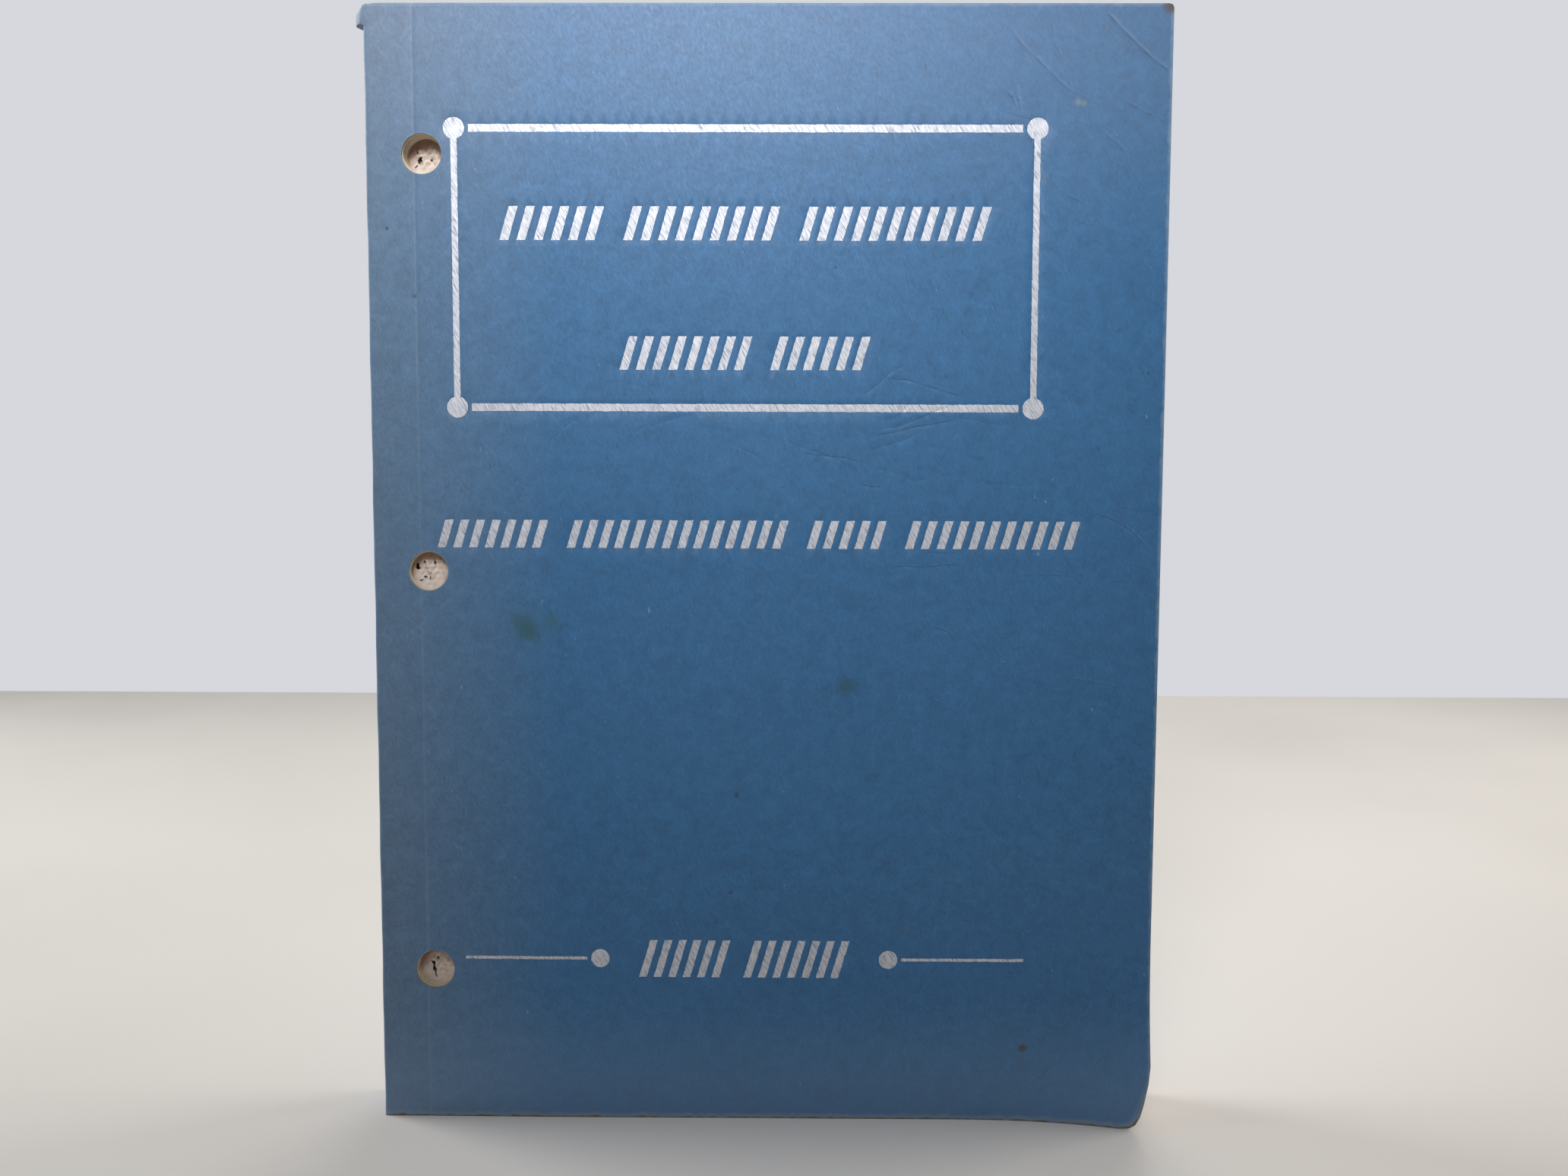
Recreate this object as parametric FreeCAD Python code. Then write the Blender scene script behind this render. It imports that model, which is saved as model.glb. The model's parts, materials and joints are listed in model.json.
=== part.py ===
"""Soft-cover manual, three-hole punched, standing on its tail edge.

Frame: origin at the middle of the tail edge (the bottom), +Z up the height,
+X from the spine to the fore edge, front cover facing -Y.  Millimetres.

The text block is fourteen folded sections.  Each section is bound near the
spine, where glue and wire hold it, and its leaves bend at the edge of that
bound margin, so every section is a fixed margin and a turning group of leaves.
The cover is one card, scored where it bends: a spine piece with two glued
side strips, and a front and a back panel that turn on the scores.
"""
import FreeCAD, Part
import math
import os

from FreeCAD import Vector

# Trimmed size.
HEIGHT = 225.4          # head to tail, 8 7/8 in
WIDTH = 158.75          # spine to fore edge, 6 1/4 in

# Text block.
SECTIONS = 14           # folded sections
LEAVES_PER_SECTION = 8  # a section of sixteen pages
LEAF = 0.1              # thickness of one leaf
LEAF_AIR = 0.02         # air left between neighbouring groups of leaves
BEND_AIR = 0.05         # air between a bound margin and its leaves

# Cover card, glue and foil.
CARD = 0.35             # cover card
SPINE_GLUE = 0.25       # glue film between the folds and the card
SCORE = 9.55            # spine edge to the score that the cover bends on
FOIL = 0.03             # stamped foil film, standing proud of the card

# Punched holes.
HOLE_R = 3.97           # 5/16 in punch
HOLE_EDGE = 11.1        # spine edge to the centres of the holes
HOLE_PITCH = 82.55      # 3 1/4 in between centres
HOLE_RISE = 1.3         # middle hole above mid height

# Where the leaves bend.
BEND_WALL = 0.9         # paper left between a hole and the first bend

# Wire stitches.
WIRE_R = 0.3            # stitching wire
WIRE_EDGE = 5.0         # spine edge to the wires
WIRE_BEND_R = 0.7       # centre line of the wire's bends
CROWN = 12.7            # outside length of a stitch
TAIL_GAP = 2.1          # between the two clinched ends
WIRE_AIR = 0.02         # air round the wire in its channel

# Foil frame: a ruled box with a round dot at each corner.
FRAME_SPINE = 17.5      # spine edge to the left rule's centre line
FRAME_FORE = 26.15      # fore edge to the right rule's centre line
FRAME_DROP = 23.9       # head to the top rule's centre line
FRAME_TALL = 54.6       # top rule to bottom rule
RULE_H = 1.5            # thickness of the level rules
RULE_V = 1.25           # thickness of the upright rules
DOT_R = 2.1             # corner dots
DOT_GAP = 0.8           # between a dot and the end of a level rule

# Foil word blocks: plain rows of equal slanted strokes, in uneven groups.
SLANT = 0.30            # sideways lean of a stroke for each unit of its height
STROKE_SHARE = 0.52     # share of the pitch that a stroke fills
WORD_GAP = 1.2          # space between two groups, in pitches
TITLE_HIGH = 6.6        # height of the strokes in the title's rows
FIRST_ROW_DROP = 45.6   # head to the title's first base line
FIRST_ROW_INSET = 8.8   # frame's rules to the ends of the title's first row
SECOND_ROW_DROP = 71.0  # head to the title's second base line
SECOND_ROW_INSET = 32.5
UNDER_DROP = 106.6      # head to the base line under the frame
UNDER_HIGH = 5.6        # height of its strokes
UNDER_SPINE = 13.0      # spine edge to its first stroke
UNDER_FORE = 16.2       # fore edge to its last stroke

# Foil foot line: a row of strokes between two dots and two thin rules.
FOOT_RISE = 34.0        # tail to the line
FOOT_HIGH = 7.8         # height of its strokes
FOOT_ROW_HALF = 21.7    # middle of the line to the ends of its strokes
FOOT_DOT_HALF = 29.7    # middle of the line to its dots
FOOT_DOT_R = 1.9
FOOT_RULE = 0.6         # thickness of the thin rules

BLOCK = SECTIONS * LEAVES_PER_SECTION * LEAF
SECTION = LEAVES_PER_SECTION * LEAF
DEPTH = FOIL + CARD + BLOCK + CARD
SPINE_X = -WIDTH / 2
CARD_FRONT_Y = -DEPTH / 2 + FOIL
BLOCK_FRONT_Y = CARD_FRONT_Y + CARD
BLOCK_BACK_Y = BLOCK_FRONT_Y + BLOCK
FIRST_BEND = HOLE_EDGE + HOLE_R + BEND_WALL
FRAME_LEFT = FRAME_SPINE
FRAME_RIGHT = WIDTH - FRAME_FORE
FRAME_TOP = HEIGHT - FRAME_DROP
FRAME_BOTTOM = FRAME_TOP - FRAME_TALL


def slab(from_spine, to_spine, front_y, back_y, low_z=0.0, high_z=HEIGHT):
    """A rectangular block between two distances from the spine edge."""
    size = Vector(to_spine - from_spine, back_y - front_y, high_z - low_z)
    return Part.makeBox(size.x, size.y, size.z, Vector(SPINE_X + from_spine, front_y, low_z))


def hole_heights():
    """Heights of the three hole centres, from the tail up."""
    middle = HEIGHT / 2 + HOLE_RISE
    return [middle - HOLE_PITCH, middle, middle + HOLE_PITCH]


def punched(solid):
    """The solid with the three holes punched through it."""
    for z in hole_heights():
        start = Vector(SPINE_X + HOLE_EDGE, -DEPTH, z)
        solid = solid.cut(Part.makeCylinder(HOLE_R, 2 * DEPTH, start, Vector(0, 1, 0)))
    return solid


def section_front(index):
    """Front face of a section, counted from 0 at the front cover."""
    return BLOCK_FRONT_Y + index * SECTION


def bends_forward(index):
    """True for the half of the sections that turn with the front cover."""
    return index < SECTIONS // 2


def bend_line(index):
    """Distance from the spine edge to the bend: each section bends one
    section's thickness further out than its neighbour on the cover's side."""
    steps = index if bends_forward(index) else SECTIONS - 1 - index
    return FIRST_BEND + steps * SECTION


def stitch_heights():
    """Middles of the wire stitches, halfway between neighbouring holes."""
    low, middle, high = hole_heights()
    return {"lower": (low + middle) / 2, "upper": (middle + high) / 2}


def stitch_wire(middle_z, radius):
    """A closed staple of round wire: crown on the block's front face, two legs
    through it, and two ends clinched towards each other on its back face."""
    x = SPINE_X + WIRE_EDGE
    front = BLOCK_FRONT_Y + WIRE_R
    back = BLOCK_BACK_Y - WIRE_R
    half = CROWN / 2 - WIRE_R
    arc_in = WIRE_BEND_R * (1 - math.sqrt(0.5))
    halves = []
    for side in (-1, 1):
        leg_z = middle_z + side * half
        crown_mid = Vector(x, front, middle_z)
        crown_end = Vector(x, front, leg_z - side * WIRE_BEND_R)
        top_bend = Vector(x, front + arc_in, leg_z - side * arc_in)
        leg_top = Vector(x, front + WIRE_BEND_R, leg_z)
        leg_foot = Vector(x, back - WIRE_BEND_R, leg_z)
        foot_bend = Vector(x, back - arc_in, leg_z - side * arc_in)
        tail_start = Vector(x, back, leg_z - side * WIRE_BEND_R)
        tail_end = Vector(x, back, middle_z + side * TAIL_GAP / 2)
        path = Part.Wire([
            Part.LineSegment(crown_mid, crown_end).toShape(),
            Part.Arc(crown_end, top_bend, leg_top).toShape(),
            Part.LineSegment(leg_top, leg_foot).toShape(),
            Part.Arc(leg_foot, foot_bend, tail_start).toShape(),
            Part.LineSegment(tail_start, tail_end).toShape(),
        ])
        ring = Part.Wire([Part.Circle(crown_mid, Vector(0, 0, 1), radius).toShape()])
        halves.append(path.makePipeShell([ring], True, False))
    return halves[0].fuse(halves[1]).removeSplitter()


def stitch_channel(middle_z):
    """Room for one stitch, open to the block's front and back faces."""
    room = WIRE_R + WIRE_AIR
    low, high = middle_z - CROWN / 2, middle_z + CROWN / 2
    near, far = WIRE_EDGE - room, WIRE_EDGE + room
    reach = WIRE_BEND_R + WIRE_R
    front = slab(near, far, BLOCK_FRONT_Y, BLOCK_FRONT_Y + WIRE_R, low + reach, high - reach)
    back = slab(near, far, BLOCK_BACK_Y - WIRE_R, BLOCK_BACK_Y, low + reach, high - reach)
    return stitch_wire(middle_z, room).fuse([front, back])


def make_margin(index, channels):
    """Bound part of one section: glued at the spine, stitched and punched."""
    front = section_front(index)
    solid = slab(CARD + SPINE_GLUE, bend_line(index), front, front + SECTION)
    return punched(solid.cut(channels))


def make_leaves(index):
    """Turning part of one section, with its air on the side that faces the
    middle of the book, so that it turns about the edge nearest its cover."""
    front = section_front(index)
    back = front + SECTION
    if bends_forward(index):
        back -= LEAF_AIR
    else:
        front += LEAF_AIR
    return slab(bend_line(index) + BEND_AIR, WIDTH, front, back)


def make_cover_spine():
    """Spine of the cover with the two side strips glued to the text block."""
    outer = slab(0, SCORE, CARD_FRONT_Y, BLOCK_BACK_Y + CARD)
    inner = slab(CARD, SCORE, BLOCK_FRONT_Y, BLOCK_BACK_Y)
    return punched(outer.cut(inner))


def make_front_panel():
    """Front cover, from the score to the fore edge."""
    return punched(slab(SCORE, WIDTH, CARD_FRONT_Y, BLOCK_FRONT_Y))


def make_back_panel():
    """Back cover, from the score to the fore edge."""
    return punched(slab(SCORE, WIDTH, BLOCK_BACK_Y, BLOCK_BACK_Y + CARD))


def make_spine_glue():
    """Glue film along the folded backs of the sections."""
    return slab(CARD, CARD + SPINE_GLUE, BLOCK_FRONT_Y, BLOCK_BACK_Y)


def foil_bar(left, right, low, high):
    """An upright or level foil rule, given by its edges."""
    return slab(left, right, CARD_FRONT_Y - FOIL, CARD_FRONT_Y, low, high)


def foil_dot(from_spine, height, radius):
    """A round foil dot."""
    start = Vector(SPINE_X + from_spine, CARD_FRONT_Y - FOIL, height)
    return Part.makeCylinder(radius, FOIL, start, Vector(0, 1, 0))


def make_foil_frame():
    """Ruled box: upright rules run from dot to dot, level rules stop short."""
    pieces = []
    inset = DOT_R + DOT_GAP
    for z in (FRAME_BOTTOM, FRAME_TOP):
        low, high = z - RULE_H / 2, z + RULE_H / 2
        pieces.append(foil_bar(FRAME_LEFT + inset, FRAME_RIGHT - inset, low, high))
    for x in (FRAME_LEFT, FRAME_RIGHT):
        upright = foil_bar(x - RULE_V / 2, x + RULE_V / 2, FRAME_BOTTOM, FRAME_TOP)
        dots = [foil_dot(x, FRAME_BOTTOM, DOT_R), foil_dot(x, FRAME_TOP, DOT_R)]
        pieces.append(upright.fuse(dots).removeSplitter())
    return Part.makeCompound(pieces)


def stroke(left, base, width, height):
    """One slanted foil stroke on a base line."""
    lean = SLANT * height
    corners = [
        (left, base),
        (left + width, base),
        (left + width + lean, base + height),
        (left + lean, base + height),
    ]
    points = [Vector(SPINE_X + x, CARD_FRONT_Y - FOIL, z) for x, z in corners]
    face = Part.Face(Part.makePolygon(points + points[:1]))
    return face.extrude(Vector(0, FOIL, 0))


def stroke_row(left, right, base, height, groups):
    """Strokes that fill a line from its left end to its right end.  Each
    entry of groups is the number of strokes in one group."""
    gaps = WORD_GAP * (len(groups) - 1)
    pitch = (right - left - SLANT * height) / (sum(groups) + gaps - 1 + STROKE_SHARE)
    strokes = []
    x = left
    for count in groups:
        for _ in range(count):
            strokes.append(stroke(x, base, pitch * STROKE_SHARE, height))
            x += pitch
        x += WORD_GAP * pitch
    return strokes


def make_foil_title():
    """Two rows of strokes inside the frame."""
    strokes = []
    for drop, inset, groups in (
        (FIRST_ROW_DROP, FIRST_ROW_INSET, (6, 9, 11)),
        (SECOND_ROW_DROP, SECOND_ROW_INSET, (8, 6)),
    ):
        left, right = FRAME_LEFT + inset, FRAME_RIGHT - inset
        strokes += stroke_row(left, right, HEIGHT - drop, TITLE_HIGH, groups)
    return Part.makeCompound(strokes)


def make_foil_subtitle():
    """One row of strokes across the cover, under the frame."""
    right = WIDTH - UNDER_FORE
    return Part.makeCompound(stroke_row(UNDER_SPINE, right, HEIGHT - UNDER_DROP, UNDER_HIGH, (7, 14, 5, 11)))


def make_foil_foot():
    """Foot line: thin rule, dot, row of strokes, dot, thin rule."""
    middle = (FRAME_LEFT + FRAME_RIGHT) / 2
    low = FOOT_RISE - FOOT_HIGH / 2
    pieces = stroke_row(middle - FOOT_ROW_HALF, middle + FOOT_ROW_HALF, low, FOOT_HIGH, (6, 7))
    for side, end in ((-1, FRAME_LEFT), (1, FRAME_RIGHT)):
        dot_x = middle + side * FOOT_DOT_HALF
        near = dot_x + side * (FOOT_DOT_R + DOT_GAP)
        pieces.append(foil_dot(dot_x, FOOT_RISE, FOOT_DOT_R))
        low, high = FOOT_RISE - FOOT_RULE / 2, FOOT_RISE + FOOT_RULE / 2
        pieces.append(foil_bar(min(near, end), max(near, end), low, high))
    return Part.makeCompound(pieces)


def build():
    """All nodes by name."""
    nodes = {
        "cover_spine": make_cover_spine(),
        "cover_front": make_front_panel(),
        "cover_back": make_back_panel(),
        "spine_glue": make_spine_glue(),
        "foil_frame": make_foil_frame(),
        "foil_title": make_foil_title(),
        "foil_subtitle": make_foil_subtitle(),
        "foil_foot": make_foil_foot(),
    }
    for name, middle_z in stitch_heights().items():
        nodes["wire_stitch_" + name] = stitch_wire(middle_z, WIRE_R)
    channels = [stitch_channel(middle_z) for middle_z in stitch_heights().values()]
    for index in range(SECTIONS):
        nodes[f"section_{index + 1:02d}_margin"] = make_margin(index, channels)
        nodes[f"section_{index + 1:02d}_leaves"] = make_leaves(index)
    return nodes


os.makedirs("parts", exist_ok=True)
for name, shape in build().items():
    shape.exportStep(f"parts/{name}.step")
    print(f"{name}: {len(shape.Solids)} solids, {shape.Volume:.2f} mm3, valid {shape.isValid()}")
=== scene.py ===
"""Soft-cover manual: its looks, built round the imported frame.

The book is a wrapped cover card, silver foil pressed into its front, and
fourteen sections of separate leaves.  Every size that the frame holds is read
from it.  Lengths are metres, in the frame's own axes: X from spine to fore
edge, Z up, the front cover facing -Y.
"""

import json
import logging
import math
import random
from collections import defaultdict
from dataclasses import dataclass, field
from enum import Enum
from functools import partial
from typing import ClassVar

import bmesh
import bpy
import numpy as np
from mathutils import Matrix, Vector
from mathutils.geometry import delaunay_2d_cdt

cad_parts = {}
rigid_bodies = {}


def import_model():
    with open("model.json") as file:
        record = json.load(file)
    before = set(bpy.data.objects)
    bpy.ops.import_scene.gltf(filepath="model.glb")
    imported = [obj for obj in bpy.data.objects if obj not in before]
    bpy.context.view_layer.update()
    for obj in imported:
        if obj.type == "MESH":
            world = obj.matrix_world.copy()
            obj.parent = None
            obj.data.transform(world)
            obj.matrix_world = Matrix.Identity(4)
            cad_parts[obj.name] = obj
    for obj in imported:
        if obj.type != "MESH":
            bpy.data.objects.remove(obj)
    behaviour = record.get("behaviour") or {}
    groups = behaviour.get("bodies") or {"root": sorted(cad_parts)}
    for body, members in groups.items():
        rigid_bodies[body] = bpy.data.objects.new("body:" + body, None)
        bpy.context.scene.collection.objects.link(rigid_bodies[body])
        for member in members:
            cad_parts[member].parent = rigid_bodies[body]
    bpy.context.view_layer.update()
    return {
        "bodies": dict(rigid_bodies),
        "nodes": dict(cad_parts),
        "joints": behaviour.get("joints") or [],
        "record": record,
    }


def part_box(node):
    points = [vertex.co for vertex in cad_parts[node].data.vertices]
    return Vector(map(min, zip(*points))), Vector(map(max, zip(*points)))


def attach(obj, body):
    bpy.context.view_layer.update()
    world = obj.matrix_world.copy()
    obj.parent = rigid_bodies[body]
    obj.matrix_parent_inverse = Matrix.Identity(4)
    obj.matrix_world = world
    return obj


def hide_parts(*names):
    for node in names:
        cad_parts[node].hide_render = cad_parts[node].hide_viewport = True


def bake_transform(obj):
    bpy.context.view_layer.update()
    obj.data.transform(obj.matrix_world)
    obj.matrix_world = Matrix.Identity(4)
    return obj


MM = 0.001
SHARP = math.radians(40)
SAME_POINT_MM = 1e-4
NO_AREA = 1e-12
WRINKLE_SEED = 1956
log = logging.getLogger("manual")

Tree = bpy.types.NodeTree
Socket = bpy.types.NodeSocket
Material = bpy.types.Material
Piece = bpy.types.Object
Skins = tuple[Material, Material, Material]


class Side(Enum):
    """Which way a cover faces along Y."""

    FRONT = -1
    BACK = 1


# --------------------------------------------------------------- colour and nodes


def linear(code: str) -> tuple[float, float, float, float]:
    """Turns an sRGB hex colour to linear.

    Args:
        code: six hex digits, with or without a hash.

    Returns:
        Linear red, green, blue and an alpha of 1.
    """
    digits = code.lstrip("#")
    channels = []
    for start in (0, 2, 4):
        value = int(digits[start:start + 2], 16) / 255
        channels.append(value / 12.92 if value <= 0.04045 else ((value + 0.055) / 1.055) ** 2.4)
    return (*channels, 1.0)


def every(spacing: float) -> float:
    """Gives the scale of a pattern whose cells are a spacing in millimetres apart."""
    return 1 / (spacing * MM)


def add_node(tree: Tree, kind: str, inputs: dict | tuple = (), output: int | str = 0,
             **settings: str | bool) -> Socket | None:
    """Adds one node with its settings and links.

    Args:
        tree: the node tree to add to.
        kind: Blender's type name of the node, without "ShaderNode".
        inputs: values or outputs to link, in order or by the input's name or place.
        output: the name or place of the output that is wanted.
        **settings: the node's own properties.

    Returns:
        The wanted output, or None where the node has no outputs.
    """
    node = tree.nodes.new(f"ShaderNode{kind}")
    for name, value in settings.items():
        setattr(node, name, value)
    for key, value in inputs.items() if isinstance(inputs, dict) else enumerate(inputs):
        if isinstance(value, Socket):
            tree.links.new(value, node.inputs[key])
        else:
            node.inputs[key].default_value = value
    return node.outputs[output] if node.outputs else None


def wash(tree: Tree, colour: Socket | str, tint: str, value: Socket,
         span: tuple[float, float] | None = None, share: tuple[float, float] = (0.0, 1.0),
         soft: bool = False) -> Socket:
    """Lays a tint over a colour, as strongly as a value says.

    Args:
        tree: the node tree.
        colour: the colour below, as an output or sRGB hex.
        tint: the sRGB hex colour that is laid over it.
        value: what the tint's strength follows.
        span: the value's range, or None where the value is the strength.
        share: the strength at the two ends of that range.
        soft: whether the strength eases in and out.

    Returns:
        The new colour.
    """
    if span:
        easing = "SMOOTHSTEP" if soft else "LINEAR"
        value = add_node(tree, "MapRange", (value, *span, *share), interpolation_type=easing)
    below = linear(colour) if isinstance(colour, str) else colour
    return add_node(tree, "Mix", {0: value, 6: below, 7: linear(tint)}, 2, data_type="RGBA")


def shaded(tree: Tree, colour: Socket, value: Socket, span: tuple[float, float],
           gain: tuple[float, float]) -> Socket:
    """Darkens and lightens a colour as a value says.

    Args:
        tree: the node tree.
        colour: the colour to change.
        value: what the change follows.
        span: the value's range.
        gain: what the colour is multiplied by at the two ends of that range.

    Returns:
        The new colour.
    """
    factor = add_node(tree, "MapRange", (value, *span, *gain))
    return add_node(tree, "VectorMath", {0: colour, "Scale": factor}, operation="SCALE")


def leaning(tree: Tree, place: Socket, lean: float, wide: float, long: float) -> Socket:
    """Turns and stretches places, so that a pattern's cells lie along one direction.

    Args:
        tree: the node tree.
        place: the places.
        lean: the direction, in degrees from upright.
        wide: a cell's width.
        long: a cell's length.

    Returns:
        The places, counted in cells.
    """
    turned = add_node(tree, "Mapping", {"Vector": place, "Rotation": (0, math.radians(lean), 0)},
                      vector_type="POINT")
    return add_node(tree, "VectorMath", (turned, (1 / wide, 1 / wide, 1 / long)), operation="MULTIPLY")


# ----------------------------------------------------------------------- finishes


class Finish:
    """One finish, named for its material and how its surface was made."""

    name: ClassVar[str]

    def surface(self, tree: Tree) -> Socket:
        """Builds the finish in an empty node tree and gives its shader."""
        raise NotImplementedError

    def material(self) -> Material:
        """Builds the node material.

        Returns:
            The material.
        """
        material = bpy.data.materials.new(self.name)
        material.use_nodes = True
        material.node_tree.nodes.clear()
        add_node(material.node_tree, "OutputMaterial", {"Surface": self.surface(material.node_tree)})
        return material


@dataclass(frozen=True)
class Stain:
    """A soft mark on the cover, by its place from the spine edge and the tail."""

    across: float
    up: float
    radius: float
    colour: str
    strength: float


@dataclass(frozen=True)
class EmbossedCoverCard(Finish):
    """Pyroxylin-coated cover card, embossed by a grained roller.

    The coating gives a satin sheen with a blue body under it, the roller's
    grain breaks the sheen into fine leaning cells, the spine side is paler
    grey from handling and from painted light, and handling rubs the trimmed
    edges down to the board.
    """

    name: str = "pyroxylin_coated_card_roller_embossed"
    body: str = "#39709f"
    deep: str = "#316898"
    # Paler grey of the spine side: partly fading, partly painted light.
    faded_and_painted_light: str = "#637c96"
    fleck: str = "#28425f"
    speck: str = "#20303e"
    # Crease colours: the valley is painted shade, the lip a painted highlight on the upper side; lip also
    # tints pale flecks.
    valley: str = "#1f3a58"
    lip: str = "#9fb2c8"
    # Grey towards the head: dust, with painted sheen.
    dust_and_sheen: str = "#8f8f98"
    rubbed: str = "#8fa3b5"
    rub_brown: str = "#6d5f52"
    fold_rub: str = "#a9b7c8"
    # Paler blue at the tail: painted light bounced up from the floor.
    painted_floor_bounce: str = "#809fc2"
    grain_long: float = 0.75 * MM
    grain_wide: float = 0.30 * MM
    grain_lean: float = 20.0
    rub_width: float = 1.15 * MM
    fade_and_light_width: float = 38 * MM
    dust_and_sheen_from: float = 165 * MM
    dust_and_sheen_to: float = 235 * MM
    floor_bounce_high: float = 30 * MM
    stains: tuple[Stain, ...] = (
        Stain(31.0 * MM, 102.5 * MM, 3.6 * MM, "#2d5a5c", 0.75),
        Stain(36.0 * MM, 103.8 * MM, 2.4 * MM, "#31606a", 0.5),
        Stain(95.5 * MM, 91.0 * MM, 2.6 * MM, "#2c545c", 0.6),
        Stain(132.8 * MM, 15.4 * MM, 1.0 * MM, "#4c4a30", 0.8),
        Stain(132.6 * MM, 12.6 * MM, 1.1 * MM, "#5a5242", 0.25),
        Stain(140.4 * MM, 206.6 * MM, 0.8 * MM, "#8f9a86", 0.4),
        Stain(141.6 * MM, 206.4 * MM, 0.7 * MM, "#8f9a86", 0.35),
        Stain(158.3 * MM, 224.9 * MM, 1.9 * MM, "#5b4a3c", 0.85),
        Stain(107.5 * MM, 40.5 * MM, 1.2 * MM, "#4a5a5c", 0.35),
        Stain(4.0 * MM, 182.0 * MM, 0.35 * MM, "#22272c", 0.9),
    )

    def surface(self, tree: Tree) -> Socket:
        """Builds the coat, from its body colour out to the dirt on it.

        Args:
            tree: an empty node tree.

        Returns:
            The shader.
        """
        add, lay = partial(add_node, tree), partial(wash, tree)
        place = add("Attribute", (), "Vector", attribute_name="place")
        across = add("SeparateXYZ", (place,))
        up = across.node.outputs["Z"]
        edge, fold, crease = (
            add("Attribute", (), "Fac", attribute_name=mark) for mark in ("edge", "fold", "crease")
        )

        # Roller grain: cells stretched along one leaning direction.
        grain = leaning(tree, place, self.grain_lean, self.grain_wide, self.grain_long)
        cells = add("TexVoronoi", {"Vector": grain, "Scale": 1.0, "Randomness": 1.0}, feature="F1")
        fibres = add("TexNoise", {"Vector": grain, "Scale": 0.55, "Detail": 5.0, "Roughness": 0.6})
        relief = add("Math", (cells, 0.45, fibres), operation="MULTIPLY_ADD")

        # Broad cloudiness of an old coating, and deeper blue away from the spine: the paler spine side is
        # partly fading, partly painted light.
        cloud = add("TexNoise", {"Vector": place, "Scale": every(45.45), "Detail": 4.0, "Roughness": 0.55})
        colour = lay(self.body, self.deep, cloud)
        colour = lay(colour, self.faded_and_painted_light, across, (-2 * MM, self.fade_and_light_width), (0.9, 0.0))

        # Patchy handling marks a few millimetres across, and small dark and pale flecks.
        mottle = add("TexNoise", {"Vector": place, "Scale": every(3.0303), "Detail": 6.0,
                                  "Roughness": 0.68, "Distortion": 0.6})
        colour = shaded(tree, colour, mottle, (0.32, 0.68), (0.86, 1.14))
        flecks = add("TexNoise", {"Vector": grain, "Scale": 0.32, "Detail": 2.0, "Roughness": 0.5})
        colour = lay(colour, self.fleck, flecks, (0.30, 0.22), (0.0, 0.5))
        colour = lay(colour, self.lip, flecks, (0.72, 0.80), (0.0, 0.5))

        # Cell walls hold a little dirt, and crowns are rubbed paler.
        colour = shaded(tree, colour, relief, (0.45, 1.05), (0.88, 1.12))

        # Creases: painted shade in the valley, painted highlight on the lip above it.
        colour = lay(colour, self.valley, crease, (0.1, 0.9), (0.0, 0.85))
        colour = lay(colour, self.lip, crease, (-0.1, -0.7), (0.0, 0.2))

        # Grey towards the head: settled dust and painted sheen where the top catches the light; paler blue at
        # the tail: painted light bounced up from the floor.
        colour = lay(colour, self.dust_and_sheen, up, (self.dust_and_sheen_from, self.dust_and_sheen_to), (0.0, 0.2), soft=True)
        # Painted light bounced up from the floor onto the tail.
        colour = lay(colour, self.painted_floor_bounce, up, (0.0, self.floor_bounce_high), (0.36, 0.0), soft=True)

        # Pale rub along the scores and the spine's corners.
        along = add("TexNoise", {"Vector": place, "Scale": every(18.182), "Detail": 2.0})
        fold_line = add("MapRange", (fold, 0.05 * MM, 0.42 * MM, 0.2, 0.0))
        colour = lay(colour, self.fold_rub, add("Math", (fold_line, along), operation="MULTIPLY"))

        # Rubbed trim: grey, then brown board showing right at the edge.
        scuff = add("TexNoise", {"Vector": place, "Scale": every(2.38095), "Detail": 3.0})
        ragged = add("Math", (scuff, -1.3 * MM, edge), operation="MULTIPLY_ADD")
        rub = add("MapRange", (ragged, -0.55 * MM, self.rub_width - 0.65 * MM, 0.85, 0.0))
        colour = lay(colour, self.rubbed, rub)
        colour = lay(colour, self.rub_brown, ragged, (-0.75 * MM, -0.35 * MM), (0.9, 0.0))

        # Marks: each is a soft round patch with an uneven outline.
        blot = add("TexNoise", {"Vector": place, "Scale": every(3.84615), "Detail": 3.0})
        for stain in self.stains:
            middle = (stain.across, 0.0, stain.up)
            away = add("VectorMath", (place, middle), "Value", operation="DISTANCE")
            uneven = add("Math", (blot, -1.5 * stain.radius, away), operation="MULTIPLY_ADD")
            span = (-0.7 * stain.radius, 0.5 * stain.radius)
            colour = lay(colour, stain.colour, uneven, span, (stain.strength, 0.0), soft=True)

        # Dark specks of dirt, thinly scattered.
        specks = add("TexVoronoi", {"Vector": place, "Scale": every(10.5263)}, feature="F1")
        chosen = add("SeparateColor", (specks.node.outputs["Color"],))
        speck_size = add("MapRange", (chosen, 0.55, 1.0, 0.0, 0.055))
        speck = add("Math", (specks, speck_size), operation="LESS_THAN")
        colour = lay(colour, self.speck, speck, (0.0, 1.0), (0.0, 0.45))

        gloss = add("MapRange", (relief, 0.4, 1.1, 0.66, 0.50))
        dull = add("Math", (rub, 0.3, gloss), operation="MULTIPLY_ADD", use_clamp=True)
        bump = add("Bump", {"Height": relief, "Strength": 0.28, "Distance": 0.045 * MM})
        return add("BsdfPrincipled", {"Base Color": colour, "Roughness": dull, "IOR": 1.5, "Normal": bump})


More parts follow.
